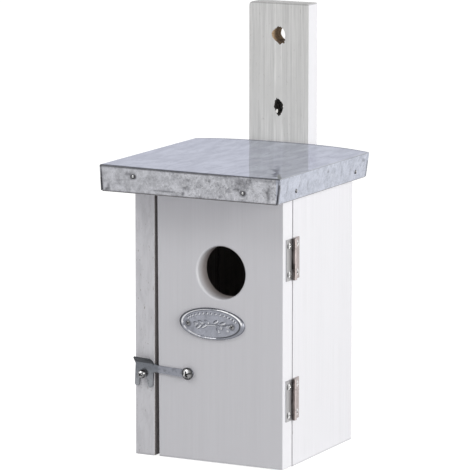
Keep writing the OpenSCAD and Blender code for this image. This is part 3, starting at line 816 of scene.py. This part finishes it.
def sheet_point(i, j):
    x, x_drop = COLUMNS[i]
    y, y_drop = ROWS[j]
    drop = max(x_drop, y_drop)
    z = roof_top - drop
    if y_drop > FOLD_R and x_drop <= FOLD_R:
        low = (y_drop - FOLD_R) / rim_h
        limit = half_flat - SEAM_PULL * low
        x = max(-limit, min(limit, x))
        if abs(x) > limit - 1e-9:
            x = math.copysign(limit, x)
    if x_drop > FOLD_R:
        x += rim_lean(x, z)
    across = min(1.0, abs(x) / half_flat)
    along = max(0.0, (y - (sheet_hi.y - CROWN_L)) / CROWN_L)
    crown = (1 - across**3) * along**2
    z += CROWN_H * crown if drop <= FOLD_R else 0
    z += SHEET_LIFT * (0.5 - 0.5 * x / half_flat) ** 2 * (1 - crown) * (1 - drop / rim_h)
    if drop < 1e-9:
        z += 0.05 * MM * noise.noise(Vector((x * 28, y * 34, 3.7)))
    return Vector((x, y, z))


# Smudges in mm: middle, half sizes and strength
SMUDGE_GAIN = 1.35
FRONT_SMUDGES = [
    (35.9, 176.7, 7, 3.5, 0.34), (52.3, 170.8, 1.4, 4.5, 0.40), (-1.3, 171.0, 3.2, 1.5, 0.36),
    (-4.0, 167.5, 1.4, 1.1, 0.40), (21.3, 167.6, 1.6, 1.1, 0.34), (25.7, 171.2, 1.4, 1.2, 0.30),
    (14.1, 176.3, 1.4, 1.2, 0.36), (-0.3, 175.8, 1.6, 1.1, 0.30), (7.4, 166.2, 2.2, 0.9, 0.40),
    (-54.8, 166.7, 2.2, 1.3, 0.50), (-54.1, 168.6, 1.2, 1.8, 0.40), (-40.2, 176.6, 3.0, 1.3, 0.34),
    (-16.4, 168.2, 9.5, 0.45, 0.42), (31.9, 172.9, 2.2, 1.2, 0.42), (-47.0, 172.6, 7, 0.5, 0.2),
    (-46.0, 170.2, 8, 0.45, 0.2),
]
RIGHT_SMUDGES = [(-1.5, 174.7, 1.4, 3.6, 0.42), (47.4, 176.2, 2.4, 1.6, 0.32), (-17.7, 167.3, 2.2, 1.4, 0.36)]
TOP_STROKES = [((51.5, -57.0), 0.6), ((39.4, -33.0), 0.45), ((36.3, -21.6), 0.16), ((50.6, -48.7), 0.40)]
TOP_SPOT = (46.4, -43.6)


def stain(u, v, smudges):
    """Soil in mm coordinates from a list of smudges with ragged edges."""
    worst = 0.0
    for cu, cv, ru, rv, amount in smudges:
        if abs(u - cu) > 1.6 * ru or abs(v - cv) > 1.6 * rv:
            continue
        ragged = 0.55 * noise.noise(Vector((u * 0.7, v * 0.7, ru)))
        away = math.hypot((u - cu) / ru, (v - cv) / rv) + ragged
        worst = max(worst, SMUDGE_GAIN * amount * smooth(1.35 - away))
    return worst


def nail_mark(u, v, places, reach):
    """A dark ring round a nail, darker beside it: partly grime, partly painted shadow of its head."""
    worst = 0.0
    for cu, cv in places:
        away = math.hypot(u - cu, v - cv)
        sideways = abs(u - cu) / (away + 0.1)
        worst = max(worst, (0.35 + 0.5 * sideways) * smooth((reach - away) / 0.9))
    return worst


def near_line(u, v, a, b):
    du, dv = b[0] - a[0], b[1] - a[1]
    t = max(0.0, min(1.0, ((u - a[0]) * du + (v - a[1]) * dv) / (du * du + dv * dv)))
    return math.hypot(u - a[0] - t * du, v - a[1] - t * dv), t


def roof_dirt_and_shade(co):
    x, y, z = co / MM
    side = abs(co.x) - half_flat
    front = sheet_lo.y + FOLD_R - co.y
    # The lower edge of every rim is darker: painted shade.
    foot = (0.42 + 0.12 * smooth((x + 60) / 100)) * smooth((sheet_lo.z + 0.8 * MM - co.z) / (0.6 * MM))
    # The front rim: painted shade round its fold, just under the fold and towards the right; its ends beside
    # the corner seams are darker; stains; dark rings round the nails.
    if front > 0 and side < FOLD_R * 0.4:
        up = co.z - (roof_top - FOLD_R)
        if up > 0:
            turn = math.degrees(math.atan2(up, front))
            wander = 5 * noise.noise(Vector((x * 0.12, 0, 5.1)))
            return 0.85 * smooth((52 - abs(turn - 50 - wander)) / 10)
        edge = 0.85 * smooth((abs(x) - (half_flat - SEAM_PULL * (-up / rim_h)) / MM + 1.0) / 0.9)
        under_fold = 0.3 * smooth((0.6 + up / MM) / 0.5)
        shadow = 0.34 * smooth((2.4 + up / MM) / 1.6) * smooth((x - 5) / 30)
        marks = max(stain(x, z, FRONT_SMUDGES), nail_mark(x, z, NAILS["front"], 2.6))
        return max(marks, foot, edge, under_fold, shadow)
    # The side rims: painted shade round the fold; the front ends beside the seams are darker; stains; dark
    # rings round the nails.
    if side > 0:
        up = co.z - (roof_top - FOLD_R)
        if up > 0:
            turn = math.degrees(math.atan2(up, side))
            return (0.28 if x > 0 else 0.7) * smooth((26 - abs(turn - 40)) / 10)
        edge = 0.3 * smooth((-y - 64.8) / 1.2)
        smudges, places = (RIGHT_SMUDGES, NAILS["right"]) if x > 0 else ((), NAILS["left"])
        return max(stain(y, z, smudges), nail_mark(y, z, places, 3.1), 0.7 * foot, edge)
    # The top: darker along the back edge, painted shade next to the front fold, and stains and specks.
    back_edge = 0.5 * smooth((y - sheet_hi.y / MM + 2.4) / 1.0)
    mark = max(0.6 * smooth((1.6 + front / MM) / 0.9), back_edge)
    for end, amount in TOP_STROKES:
        away, t = near_line(x, y, TOP_SPOT, end)
        ragged = 2.2 * noise.noise(Vector((x * 0.45, y * 0.2, 7.7)))
        mark = max(mark, (0.80 + (amount - 0.80) * t) * smooth((2.4 - away + ragged) / 2.2))
    specks = noise.noise(Vector((x * 0.55, y * 0.55, 2.2)))
    return max(mark, 0.30 * smooth((specks - 0.52) / 0.12))


bm = bmesh.new()
grid = {}
for i in range(len(COLUMNS)):
    for j in range(len(ROWS)):
        grid[i, j] = bm.verts.new(sheet_point(i, j))
for i in range(len(COLUMNS) - 1):
    for j in range(len(ROWS) - 1):
        x_low = min(COLUMNS[i][1], COLUMNS[i + 1][1]) >= FOLD_R - 1e-9
        y_low = min(ROWS[j][1], ROWS[j + 1][1]) >= FOLD_R - 1e-9
        x_fold = max(COLUMNS[i][1], COLUMNS[i + 1][1]) > 1e-9
        if (x_low and y_low) or (y_low and x_fold):
            continue
        bm.faces.new([grid[i, j], grid[i + 1, j], grid[i + 1, j + 1], grid[i, j + 1]])
for v in [v for v in bm.verts if not v.link_faces]:
    bm.verts.remove(v)
bm.normal_update()
if sum(f.normal.z for f in bm.faces) < 0:
    bmesh.ops.reverse_faces(bm, faces=bm.faces)
for f in bm.faces:
    f.material_index = 1 if abs(f.normal.z) < 0.6 else 0
dirt_and_light(bm, roof_dirt_and_shade)
shell = temporary(bm, "roof_shell")
thick = shell.modifiers.new("thick", "SOLIDIFY")
thick.thickness = SHEET_T
thick.offset = -1
thick.use_even_offset = True
bm = applied(shell)
zincs = [zinc_top("zinc_top"), zinc_rim("zinc_rim")]
make("roof_sheet_zinc", bm, "box", ["roof_sheet"], zincs, 60)

# ---------------- hardware

knuckle_lo, knuckle_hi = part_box("upper_hinge_pin")
KNUCKLE_X, KNUCKLE_Y = right_hi.x + 0.9 * MM, (knuckle_lo.y + knuckle_hi.y) / 2
latch_lo, latch_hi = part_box("latch")
PLATE_X, LIP_Y = latch_lo.x + 16.5 * MM, latch_hi.y - 2.0 * MM


def hinge_metal(name, colour, neutral):
    """Nickel: neutral on the door leaf, and pinkish on the knuckle and the wall leaf.

    It has painted shade: a dark painted reflection on the knuckle's front-facing side, shade in the crease in
    front of it, and shadows beside the door leaf's screws.
    """
    made, shader, place, tone = metal(name, colour, 0.34, 0.10, metallic=0.8)
    behind = beyond(place, (0, KNUCKLE_Y + 0.3 * MM, 0), BACK, 0.8 * MM)
    out = beyond(place, (KNUCKLE_X, 0, 0), RIGHT, 0.3 * MM)
    tone = mix(calc("MAXIMUM", behind, out), neutral, tone)
    for box in solids("upper_hinge_door_screws") + solids("lower_hinge_door_screws"):
        centre, radius = outer(box, RIGHT)[:2]
        # Painted shadow on the front side of each door leaf screw.
        shade = near(place, centre + FRONT * 0.5 * radius, 0.85 * radius, 0.3 * MM)
        tone = mix(product(shade, 0.85), tone, grey(0.03))
    # Painted dark reflection on the knuckle's faces towards the front, and painted shade in the crease in
    # front of the knuckle.
    face = add("TexCoord", tree=place.id_data).outputs["Normal"]
    wear_and_sheen = clouds(place, (900, 900, 260), 2, 0.5, 0.3)
    ahead = calc("ADD", component(face, FRONT), product(wear_and_sheen, 0.25))
    ahead = spread(ahead, 1.02, 1.16)
    crease = strip(place, (0, 1, 0), KNUCKLE_Y - 1.55 * MM, 0.25 * MM, 0.35 * MM)
    dark = calc("MAXIMUM", product(ahead, out), crease)
    patchy = spread(clouds(place, (400, 400, 150), 2, 0.5, 0.2), 0.35, 0.65, 0.62, 0.92)
    plug(shader, "Base Color", mix(product(dark, patchy), tone, (0.026, 0.020, 0.018)))
    return made


def latch_metal(name):
    """Stamped zinc: pale arm, darker plate, and a nearly black lip, which is painted shade."""
    made, shader, place, tone = metal(name, (0.265, 0.275, 0.315), 0.34, 0.08, 700, 0.02, 0.8)
    plate = beyond(place, (PLATE_X, 0, 0), LEFT, 2.0 * MM)
    low = spread(component(place, (0, 0, 1)), latch_lo.z + 3 * MM, latch_hi.z - 6 * MM)
    plate_tone = mix(low, (0.26, 0.27, 0.29), (0.15, 0.16, 0.18))
    tone = mix(plate, tone, plate_tone)
    blots = spread(clouds(place, 520, 3, 0.6, 0.5), 0.50, 0.68)
    tone = mix(product(blots, 0.5), tone, (0.09, 0.09, 0.10))
    # Painted shade on the bent-out lip.
    lip = beyond(place, (0, LIP_Y, 0), FRONT, 0.8 * MM)
    tone = mix(lip, tone, (0.055, 0.058, 0.065))
    plug(shader, "Base Color", tone)
    return made


NAIL_ZINC = metal("nail_zinc", (0.36, 0.36, 0.37), 0.25, 0.15)[0]
HINGE_STEEL = hinge_metal("hinge_steel", (0.42, 0.365, 0.36), (0.43, 0.43, 0.44))
LEAF_SCREW = metal("leaf_screw", (0.72, 0.72, 0.72), 0.25, 0.06)[0]
PIN_STEEL = metal("pin_steel", (0.30, 0.28, 0.27), 0.4, 0.2)[0]
LATCH_ZINC = latch_metal("latch_zinc")
BRIGHT_STEEL = metal("bright_screw", (0.26, 0.26, 0.265), 0.2, 0.12)[0]
PLAQUE_METAL = metal("plaque_metal", (0.31, 0.32, 0.365), 0.30, 0.10, 800, 0.02, 0.9, (0.05, 0.052, 0.058))[0]


def cap_height(radius, height, away):
    """The height of a domed head's ball at a distance from its axis."""
    ball = (radius**2 + height**2) / (2 * height)
    return math.sqrt(max(0.0, ball**2 - away * away)) - (ball - height)


def dome(radius, height, rim=0.18, steps=9):
    """A domed head's profile, from its edge to the middle of its top."""
    out = [(radius * 0.97, 0), (radius, height * rim * 0.5)]
    for k in range(1, steps + 1):
        r = radius * (1 - k / steps)
        out.append((r, max(cap_height(radius, height, r), height * rim)))
    return out


def cross_cutter(radius, top, depth):
    """A tapered cross-shaped cutter that goes down from the top."""
    arm, half = radius * 0.58, radius * 0.13
    outline = [(half, half), (half, arm), (-half, arm)]
    for quarter in range(3):
        outline += [(-y, x) for x, y in outline[3 * quarter :]]
    bm = bmesh.new()
    upper = [bm.verts.new((x * 1.06, y * 1.06, top + 0.3 * MM)) for x, y in outline]
    lower = [bm.verts.new((x * 0.45, y * 0.45, top - depth)) for x, y in outline]
    skin(bm, [upper, lower])
    bm.faces.new(upper)
    bm.faces.new(list(reversed(lower)))
    return bm


def screw_mesh(radius, height, shank, length, recess, ring, edge, blots, core, halo):
    """A screw with its head's seat at z = 0; painted shade in its recess and middle (core), dark blots at
    random, a painted dark reflection ring near its edge, and a painted highlight band (halo).
    """
    tip = min(2.5 * MM, length * 0.3)
    body = [(0, -length), (shank, -length + tip), (shank, 0)]
    bm = lathe(body + dome(radius, height))
    if recess:
        bm = subtract(bm, [cross_cutter(radius, height, height * 0.75)])

    def dirt_and_painted_light(co):
        away = math.hypot(co.x, co.y)
        top = cap_height(radius, height, away)
        # The recess and the middle are painted shade, the ring beside the edge a painted dark reflection and
        # the band a painted highlight; the blots are random.
        sunk = 0.9 if away < radius * 0.66 and 0 < co.z < top - 0.12 * MM else 0.0
        blot = blots * smooth((noise.noise(co * 0.75 / MM + Vector((radius / MM, 3.3, 0.4))) + 0.05) / 0.25)
        middle = core * smooth((0.36 * radius - away) / (0.12 * radius))
        beside = ring * smooth((away - edge * radius) / (0.12 * radius))
        band = smooth((away - 0.34 * radius) / (0.1 * radius))
        band *= smooth((0.84 * radius - away) / (0.1 * radius))
        return max(sunk, blot, middle, beside) - halo * band

    dirt_and_light(bm, dirt_and_painted_light)
    return bm


def add_screws(
    name, node, body, out, height, shank, look, rolls, nail=False, ring=0.9, edge=0.8, blots=0.0, core=0.0,
    glint=0.0, halo=0.0,
):
    """Turned screws in the places of a node's solids, with a painted highlight in a spot (glint) or in a ring
    (halo).
    """
    bm = bmesh.new()
    for box, roll in zip(solids(node), rolls):
        place, radius, length = outer(box, out)
        one = screw_mesh(radius, height, shank, length - height, not nail, ring, edge, blots, core, halo)
        if nail:
            for v in one.verts:
                if v.co.z > 0:
                    v.co.z *= 1 - 0.25 * abs(noise.noise(Vector((v.co.x, v.co.y, roll)) / MM))
            if out.x:
                place.x += rim_lean(place.x, place.z)
        one.transform(facing(place - out * height, out, roll))
        layer = dirt_and_light_layer(one)
        for v in one.verts:
            # Painted highlight: a pale spot on the upper part of the head (glint).
            near_glint = (v.co - place - Vector((0, 0, 0.38 * radius))).length / radius
            if glint and near_glint < 0.42:
                v[layer] = -glint
            # With a halo, the head's front side gets painted shade.
            ahead = (v.co - place).dot(FRONT) / radius
            if halo and ahead > 0.5:
                v[layer] = max(v[layer], 0.8 * smooth((ahead - 0.5) / 0.2))
        merge(bm, one)
    make(name, bm, body, [node], [look], 30)


# The screws' and nails' dark rings, recesses and middles are painted shade and dark reflection; glint and
# halo are painted highlights.
NAIL_H = 0.7 * MM
for side, out in (("front", FRONT), ("left", LEFT), ("right", RIGHT)):
    add_screws(
        f"nails_{side}", f"roof_nails_{side}", "box", out, NAIL_H, 0.7 * MM, NAIL_ZINC,
        (0.4, 2.1), nail=True, edge=0.42, glint=0.4,
    )
LEAF_HEAD_H = 0.7 * MM
for level in ("upper", "lower"):
    for part, body in (("wall", "box"), ("door", "door")):
        add_screws(
            f"{level}_hinge_{part}_screws_turned", f"{level}_hinge_{part}_screws", body, RIGHT,
            LEAF_HEAD_H, 1.15 * MM, LEAF_SCREW, (0.3, 1.1), ring=0.4, edge=0.88,
            core=0.85, halo=0.8 if part == "door" else 0.1,
        )
SCREW_HEAD_H = 2.1 * MM
add_screws(
    "latch_pivot_turned", "latch_pivot_screw", "door", FRONT, SCREW_HEAD_H, 1.75 * MM, BRIGHT_STEEL,
    (0.25,), edge=0.74, blots=0.9, glint=0.8,
)
add_screws(
    "catch_turned", "catch_screw", "box", FRONT, SCREW_HEAD_H, 1.5 * MM, BRIGHT_STEEL, (0.9,),
    blots=0.5, glint=0.9,
)
add_screws(
    "plaque_screws_turned", "plaque_screws", "door", FRONT, 0.8 * MM, 0.9 * MM, BRIGHT_STEEL, (0.5, 1.0),
    blots=0.5,
)


# Flush screws with conical heads, at the back of the slat
SINK, SINK_SHANK = 2 * MM, 1.75 * MM
bm = bmesh.new()
for box in solids("slat_screws"):
    place, radius, length = outer(box, BACK)
    one = lathe([
        (0, -length), (SINK_SHANK, -length + 2.5 * MM), (SINK_SHANK, -SINK), (radius * 0.97, -0.12 * MM),
        (radius, -0.06 * MM), (radius * 0.98, 0), (0, 0),
    ])
    one = subtract(one, [cross_cutter(radius, 0, 1.2 * MM)])
    # Painted shade in the screws' cross recesses.
    dirt_and_light(one, lambda co: 0.9 if math.hypot(co.x, co.y) < 0.7 * radius and co.z < -0.1 * MM else 0.0)
    one.transform(facing(place, BACK, 0.4))
    merge(bm, one)
make("slat_screws_turned", bm, "box", ["slat_screws"], [BRIGHT_STEEL], 30)


def softened(name, node, body, look, width):
    """A CAD node's own shape with its sharp edges eased."""
    bm = bmesh.new()
    bm.from_mesh(frame["nodes"][node].data)
    bmesh.ops.remove_doubles(bm, verts=bm.verts, dist=2e-6)
    bmesh.ops.dissolve_limit(bm, angle_limit=math.radians(1.5), verts=bm.verts, edges=bm.edges)
    ease(bm, lambda e: True, width, 2, math.radians(40))
    make(name, bm, body, [node], [look])


for level in ("upper", "lower"):
    for part, body, look, width in (
        ("wall_leaf", "box", HINGE_STEEL, 0.15), ("door_leaf", "door", HINGE_STEEL, 0.15),
        ("pin", "box", PIN_STEEL, 0.25),
    ):
        softened(f"{level}_{part}", f"{level}_hinge_{part}", body, look, width * MM)
softened("latch_stamped", "latch", "latch", LATCH_ZINC, 0.2 * MM)

# ---------------- plaque

RIM_H = 1.6 * MM
PLATE_T = 0.8 * MM
RIM_W = 1.4 * MM
plaque_lo, plaque_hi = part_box("plaque")
plaque_mid = (plaque_lo + plaque_hi) / 2
HALF_W = (plaque_hi.x - plaque_lo.x) / 2
HALF_H = (plaque_hi.z - plaque_lo.z) / 2


def bump_shape(u, v, length, width, rise):
    """A low oval swelling."""
    inside = 1 - (u / length) ** 2 - (v / width) ** 2
    return rise * math.sqrt(inside) if inside > 0 else 0.0


# Leaves in mm and radians: place, direction, half length and half width
LEAVES = [
    (3.0, 1.3, 0.5, 1.9, 0.75), (5.2, -1.6, -0.5, 2.3, 0.85), (7.6, 0.7, 0.3, 2.1, 0.8),
    (9.7, -2.6, -0.6, 2.5, 0.85), (11.2, -0.4, 0.1, 1.9, 0.7), (4.4, -3.9, -0.9, 1.7, 0.7),
    (-3.0, 0.9, 2.6, 1.8, 0.75), (-5.0, -1.7, -2.6, 2.2, 0.85), (-7.2, 0.4, 2.8, 2.0, 0.8),
    (-8.8, -2.4, -2.5, 2.0, 0.8), (-10.6, -0.4, 3.0, 1.6, 0.65),
]
BEADS = []
for k in range(15):
    a = math.radians(22 + 136 * k / 14)
    BEADS.append((17.2 * math.cos(a), 6.2 * math.sin(a), 0.62))
STEM_END = 11.5


def relief(x, z):
    """Height in mm of the sprig and the beads at a place in mm from the plaque's middle."""
    rise = 0.0
    for cx, cz, turn, length, width in LEAVES:
        dx, dz = x - cx, z - cz
        if abs(dx) > length or abs(dz) > length:
            continue
        u = dx * math.cos(turn) + dz * math.sin(turn)
        v = -dx * math.sin(turn) + dz * math.cos(turn)
        rise = max(rise, bump_shape(u, v, length, width, 0.5) - 0.15 * max(0, 1 - abs(v) / 0.2))
    for cx, cz, r in BEADS:
        rise = max(rise, bump_shape(x - cx, z - cz, r, r, 0.42))
    stem = abs(z - (-0.7 - 0.07 * abs(x)))
    if abs(x) < STEM_END and stem < 0.35:
        rise = max(rise, 0.3 * math.sqrt(1 - (stem / 0.35) ** 2))
    return rise


def plaque_height(r, x, z):
    """Height of the plaque's front at relative radius r."""
    edge = (1 - r) * HALF_H
    if edge < RIM_W:
        t = edge / RIM_W
        round_over = math.sqrt(max(0.0, 1 - (2 * t - 1) ** 2))
        floor_here = 0.55 * MM if t < 0.5 else PLATE_T
        return max(floor_here + (RIM_H - floor_here) * round_over, 0.3 * MM)
    swell = 0.25 * MM * (1 - r * r)
    return PLATE_T + swell + relief(x / MM, z / MM) * MM


def window(value, low, high, soft):
    """1 between low and high, and 0 beyond soft edges outside them."""
    return smooth((value - low + soft) / soft) * smooth((high - value + soft) / soft)


def arc(turn, low, high):
    """1 in an arc of the rim, in degrees."""
    return max(window(turn + full, low, high, 14) for full in (-360, 0, 360))


# Strength, arc in degrees, and (start, end, softness) across the rim; the last is how far the painted
# highlight reaches
# Painted shade along the rim.
RIM_PAINTED_SHADE = (
    (0.85, (80, 195), (-1, 0.45, 0.15)), (0.55, (20, 80), (-1, 0.12, 0.1)),
    (0.60, (195, 290), (-1, 0.25, 0.15)), (0.85, (285, 375), (0.80, 1.05, 0.2)),
    (0.30, (285, 350), (-1, 0.6, 0.2)), (0.35, (20, 200), (0.9, 1.1, 0.2)),
)
# Painted highlights along the rim.
RIM_PAINTED_HIGHLIGHT = (
    (1.0, (14, 80), (0.32, 0.56, 0.15), 0.75), (0.7, (180, 280), (0.76, 0.90, 0.12), 0.7),
    (0.5, (100, 180), (0.60, 0.8, 0.15), 3.0),
)


def plaque_dirt_and_light(r, x, z):
    """Painted shade and painted highlights along the rim, painted shade beside the relief and round the
    screws, painted highlights on the relief's slopes, and faint spots of grime.
    """
    across = (1 - r) * HALF_H / RIM_W
    u, v = x / MM, z / MM
    turn = math.degrees(math.atan2(v / HALF_H, u / HALF_W)) % 360
    ragged = noise.noise(Vector((u * 0.5, v * 0.5, 4.4)))
    dark = max(
        amount * arc(turn, *degrees) * window(across, *band) for amount, degrees, band in RIM_PAINTED_SHADE
    )
    bright = max(
        amount * arc(turn, *degrees) * window(across, *band) * smooth(wear_and_sheen + ragged)
        for amount, degrees, band, wear_and_sheen in RIM_PAINTED_HIGHLIGHT
    )
    if across > 1.05:
        here = relief(u, v)
        lower = relief(u - 0.45, v + 0.35)
        upper = relief(u + 0.45, v - 0.35)
        # Painted shade beside the relief, more on one side, and a painted highlight on its slopes.
        dark = max(dark, 0.8 * smooth((upper - here) / 0.25), 0.5 * smooth((lower - here) / 0.25))
        bright = max(bright, 0.5 * smooth((here - upper) / 0.25))
        # Painted shade round the screws.
        for cx, cz in PLAQUE_SCREWS:
            away = math.hypot(u - cx, v - cz) + 0.5 * ragged
            dark = max(dark, 0.5 * smooth((2.6 - away) / 0.5))
        # Faint spots of grime.
        dark = max(dark, 0.16 * smooth((noise.noise(Vector((u * 0.4, v * 0.4, 9.3))) - 0.05) / 0.4))
    return dark if dark > bright else -bright


PLAQUE_SCREWS = []
for low, high in solids("plaque_screws"):
    centre = ((low + high) / 2 - plaque_mid) / MM
    PLAQUE_SCREWS.append((centre.x, centre.z))
bm = bmesh.new()
layer = dirt_and_light_layer(bm)
TURNS = 288
turns = [2 * math.pi * k / TURNS for k in range(TURNS)]
radii = [k / 66 * 0.90 for k in range(67)] + [0.90 + 0.10 * (k + 1) / 18 for k in range(18)]
rings = []
for r in radii:
    ring = []
    for a in turns if r else turns[:1]:
        x, z = HALF_W * r * math.cos(a), HALF_H * r * math.sin(a)
        y = plaque_hi.y - plaque_height(r, x, z)
        ring.append(bm.verts.new((plaque_mid.x + x, y, plaque_mid.z + z)))
        ring[-1][layer] = plaque_dirt_and_light(r, x, z)
    rings.append(ring)
back_ring = []
for a in turns:
    x, z = plaque_mid.x + HALF_W * math.cos(a), plaque_mid.z + HALF_H * math.sin(a)
    back_ring.append(bm.verts.new((x, plaque_hi.y, z)))
rings.append(back_ring)
skin(bm, rings)
bm.faces.new(back_ring)
make("plaque_cast", bm, "door", ["plaque"], [PLAQUE_METAL], 50)

# ---------------- light, floor

AMBIENT = 0.45
LAMP_AIM = Vector((0, 0, 0.13))
FLOOR_HALF, FLOOR_DROP = 4.0, 0.2 * MM


def seen(tree):
    """1 where the camera, a reflection or clear material looks, and 0 for other light."""
    rays = add("LightPath", tree=tree).outputs
    looked_at = calc("MAXIMUM", rays["Is Camera Ray"], rays["Is Glossy Ray"])
    return calc("MAXIMUM", looked_at, rays["Is Transmission Ray"])


def lamp(name, size, watts, place, colour=(1, 1, 1)):
    """A square soft lamp that shines at the middle of the box."""
    data = bpy.data.lights.new(name, "AREA")
    data.shape = "RECTANGLE"
    data.size = data.size_y = size
    data.energy = watts
    data.color = colour
    made = placed(name, data)
    aim(made, Vector(place), LAMP_AIM - Vector(place))
    made.visible_camera = False


world = bpy.data.worlds.new("studio")
bpy.context.scene.world = world
strength = add("MapRange", inputs={0: seen(empty_tree(world)), 3: AMBIENT, 4: 1.0}).outputs[0]
background = add("Background", inputs={"Color": (1, 1, 1, 1), "Strength": strength})
add("OutputWorld", inputs={0: background.outputs[0]})
world.cycles.sampling_method = "NONE"
lamp("key", 1.2, 32, (1.93, -0.38, 0.55), (1.0, 1.0, 0.965))
lamp("sparkle", 0.42, 2.0, (-0.552, -0.708, 0.934))

floor_mesh = bpy.data.meshes.new("floor_plane")
corners = [(-FLOOR_HALF, -FLOOR_HALF, 0), (FLOOR_HALF, -FLOOR_HALF, 0)]
corners += [(FLOOR_HALF, FLOOR_HALF, 0), (-FLOOR_HALF, FLOOR_HALF, 0)]
floor_mesh.from_pydata(corners, [], [(0, 1, 2, 3)])
floor_mesh.update()
floor_plane = placed("floor_plane", floor_mesh)
floor_plane.location.z = -FLOOR_DROP
pale = bpy.data.materials.new("pale_floor")
tree = empty_tree(pale)
glow = add("Emission", inputs={"Strength": product(seen(tree), 0.82)})
matt = add("BsdfDiffuse", inputs={"Color": (0.55, 0.55, 0.55, 1)}, tree=tree)
both = add("AddShader", inputs={0: matt.outputs[0], 1: glow.outputs[0]})
add("OutputMaterial", inputs={0: both.outputs[0]})
floor_mesh.materials.append(pale)
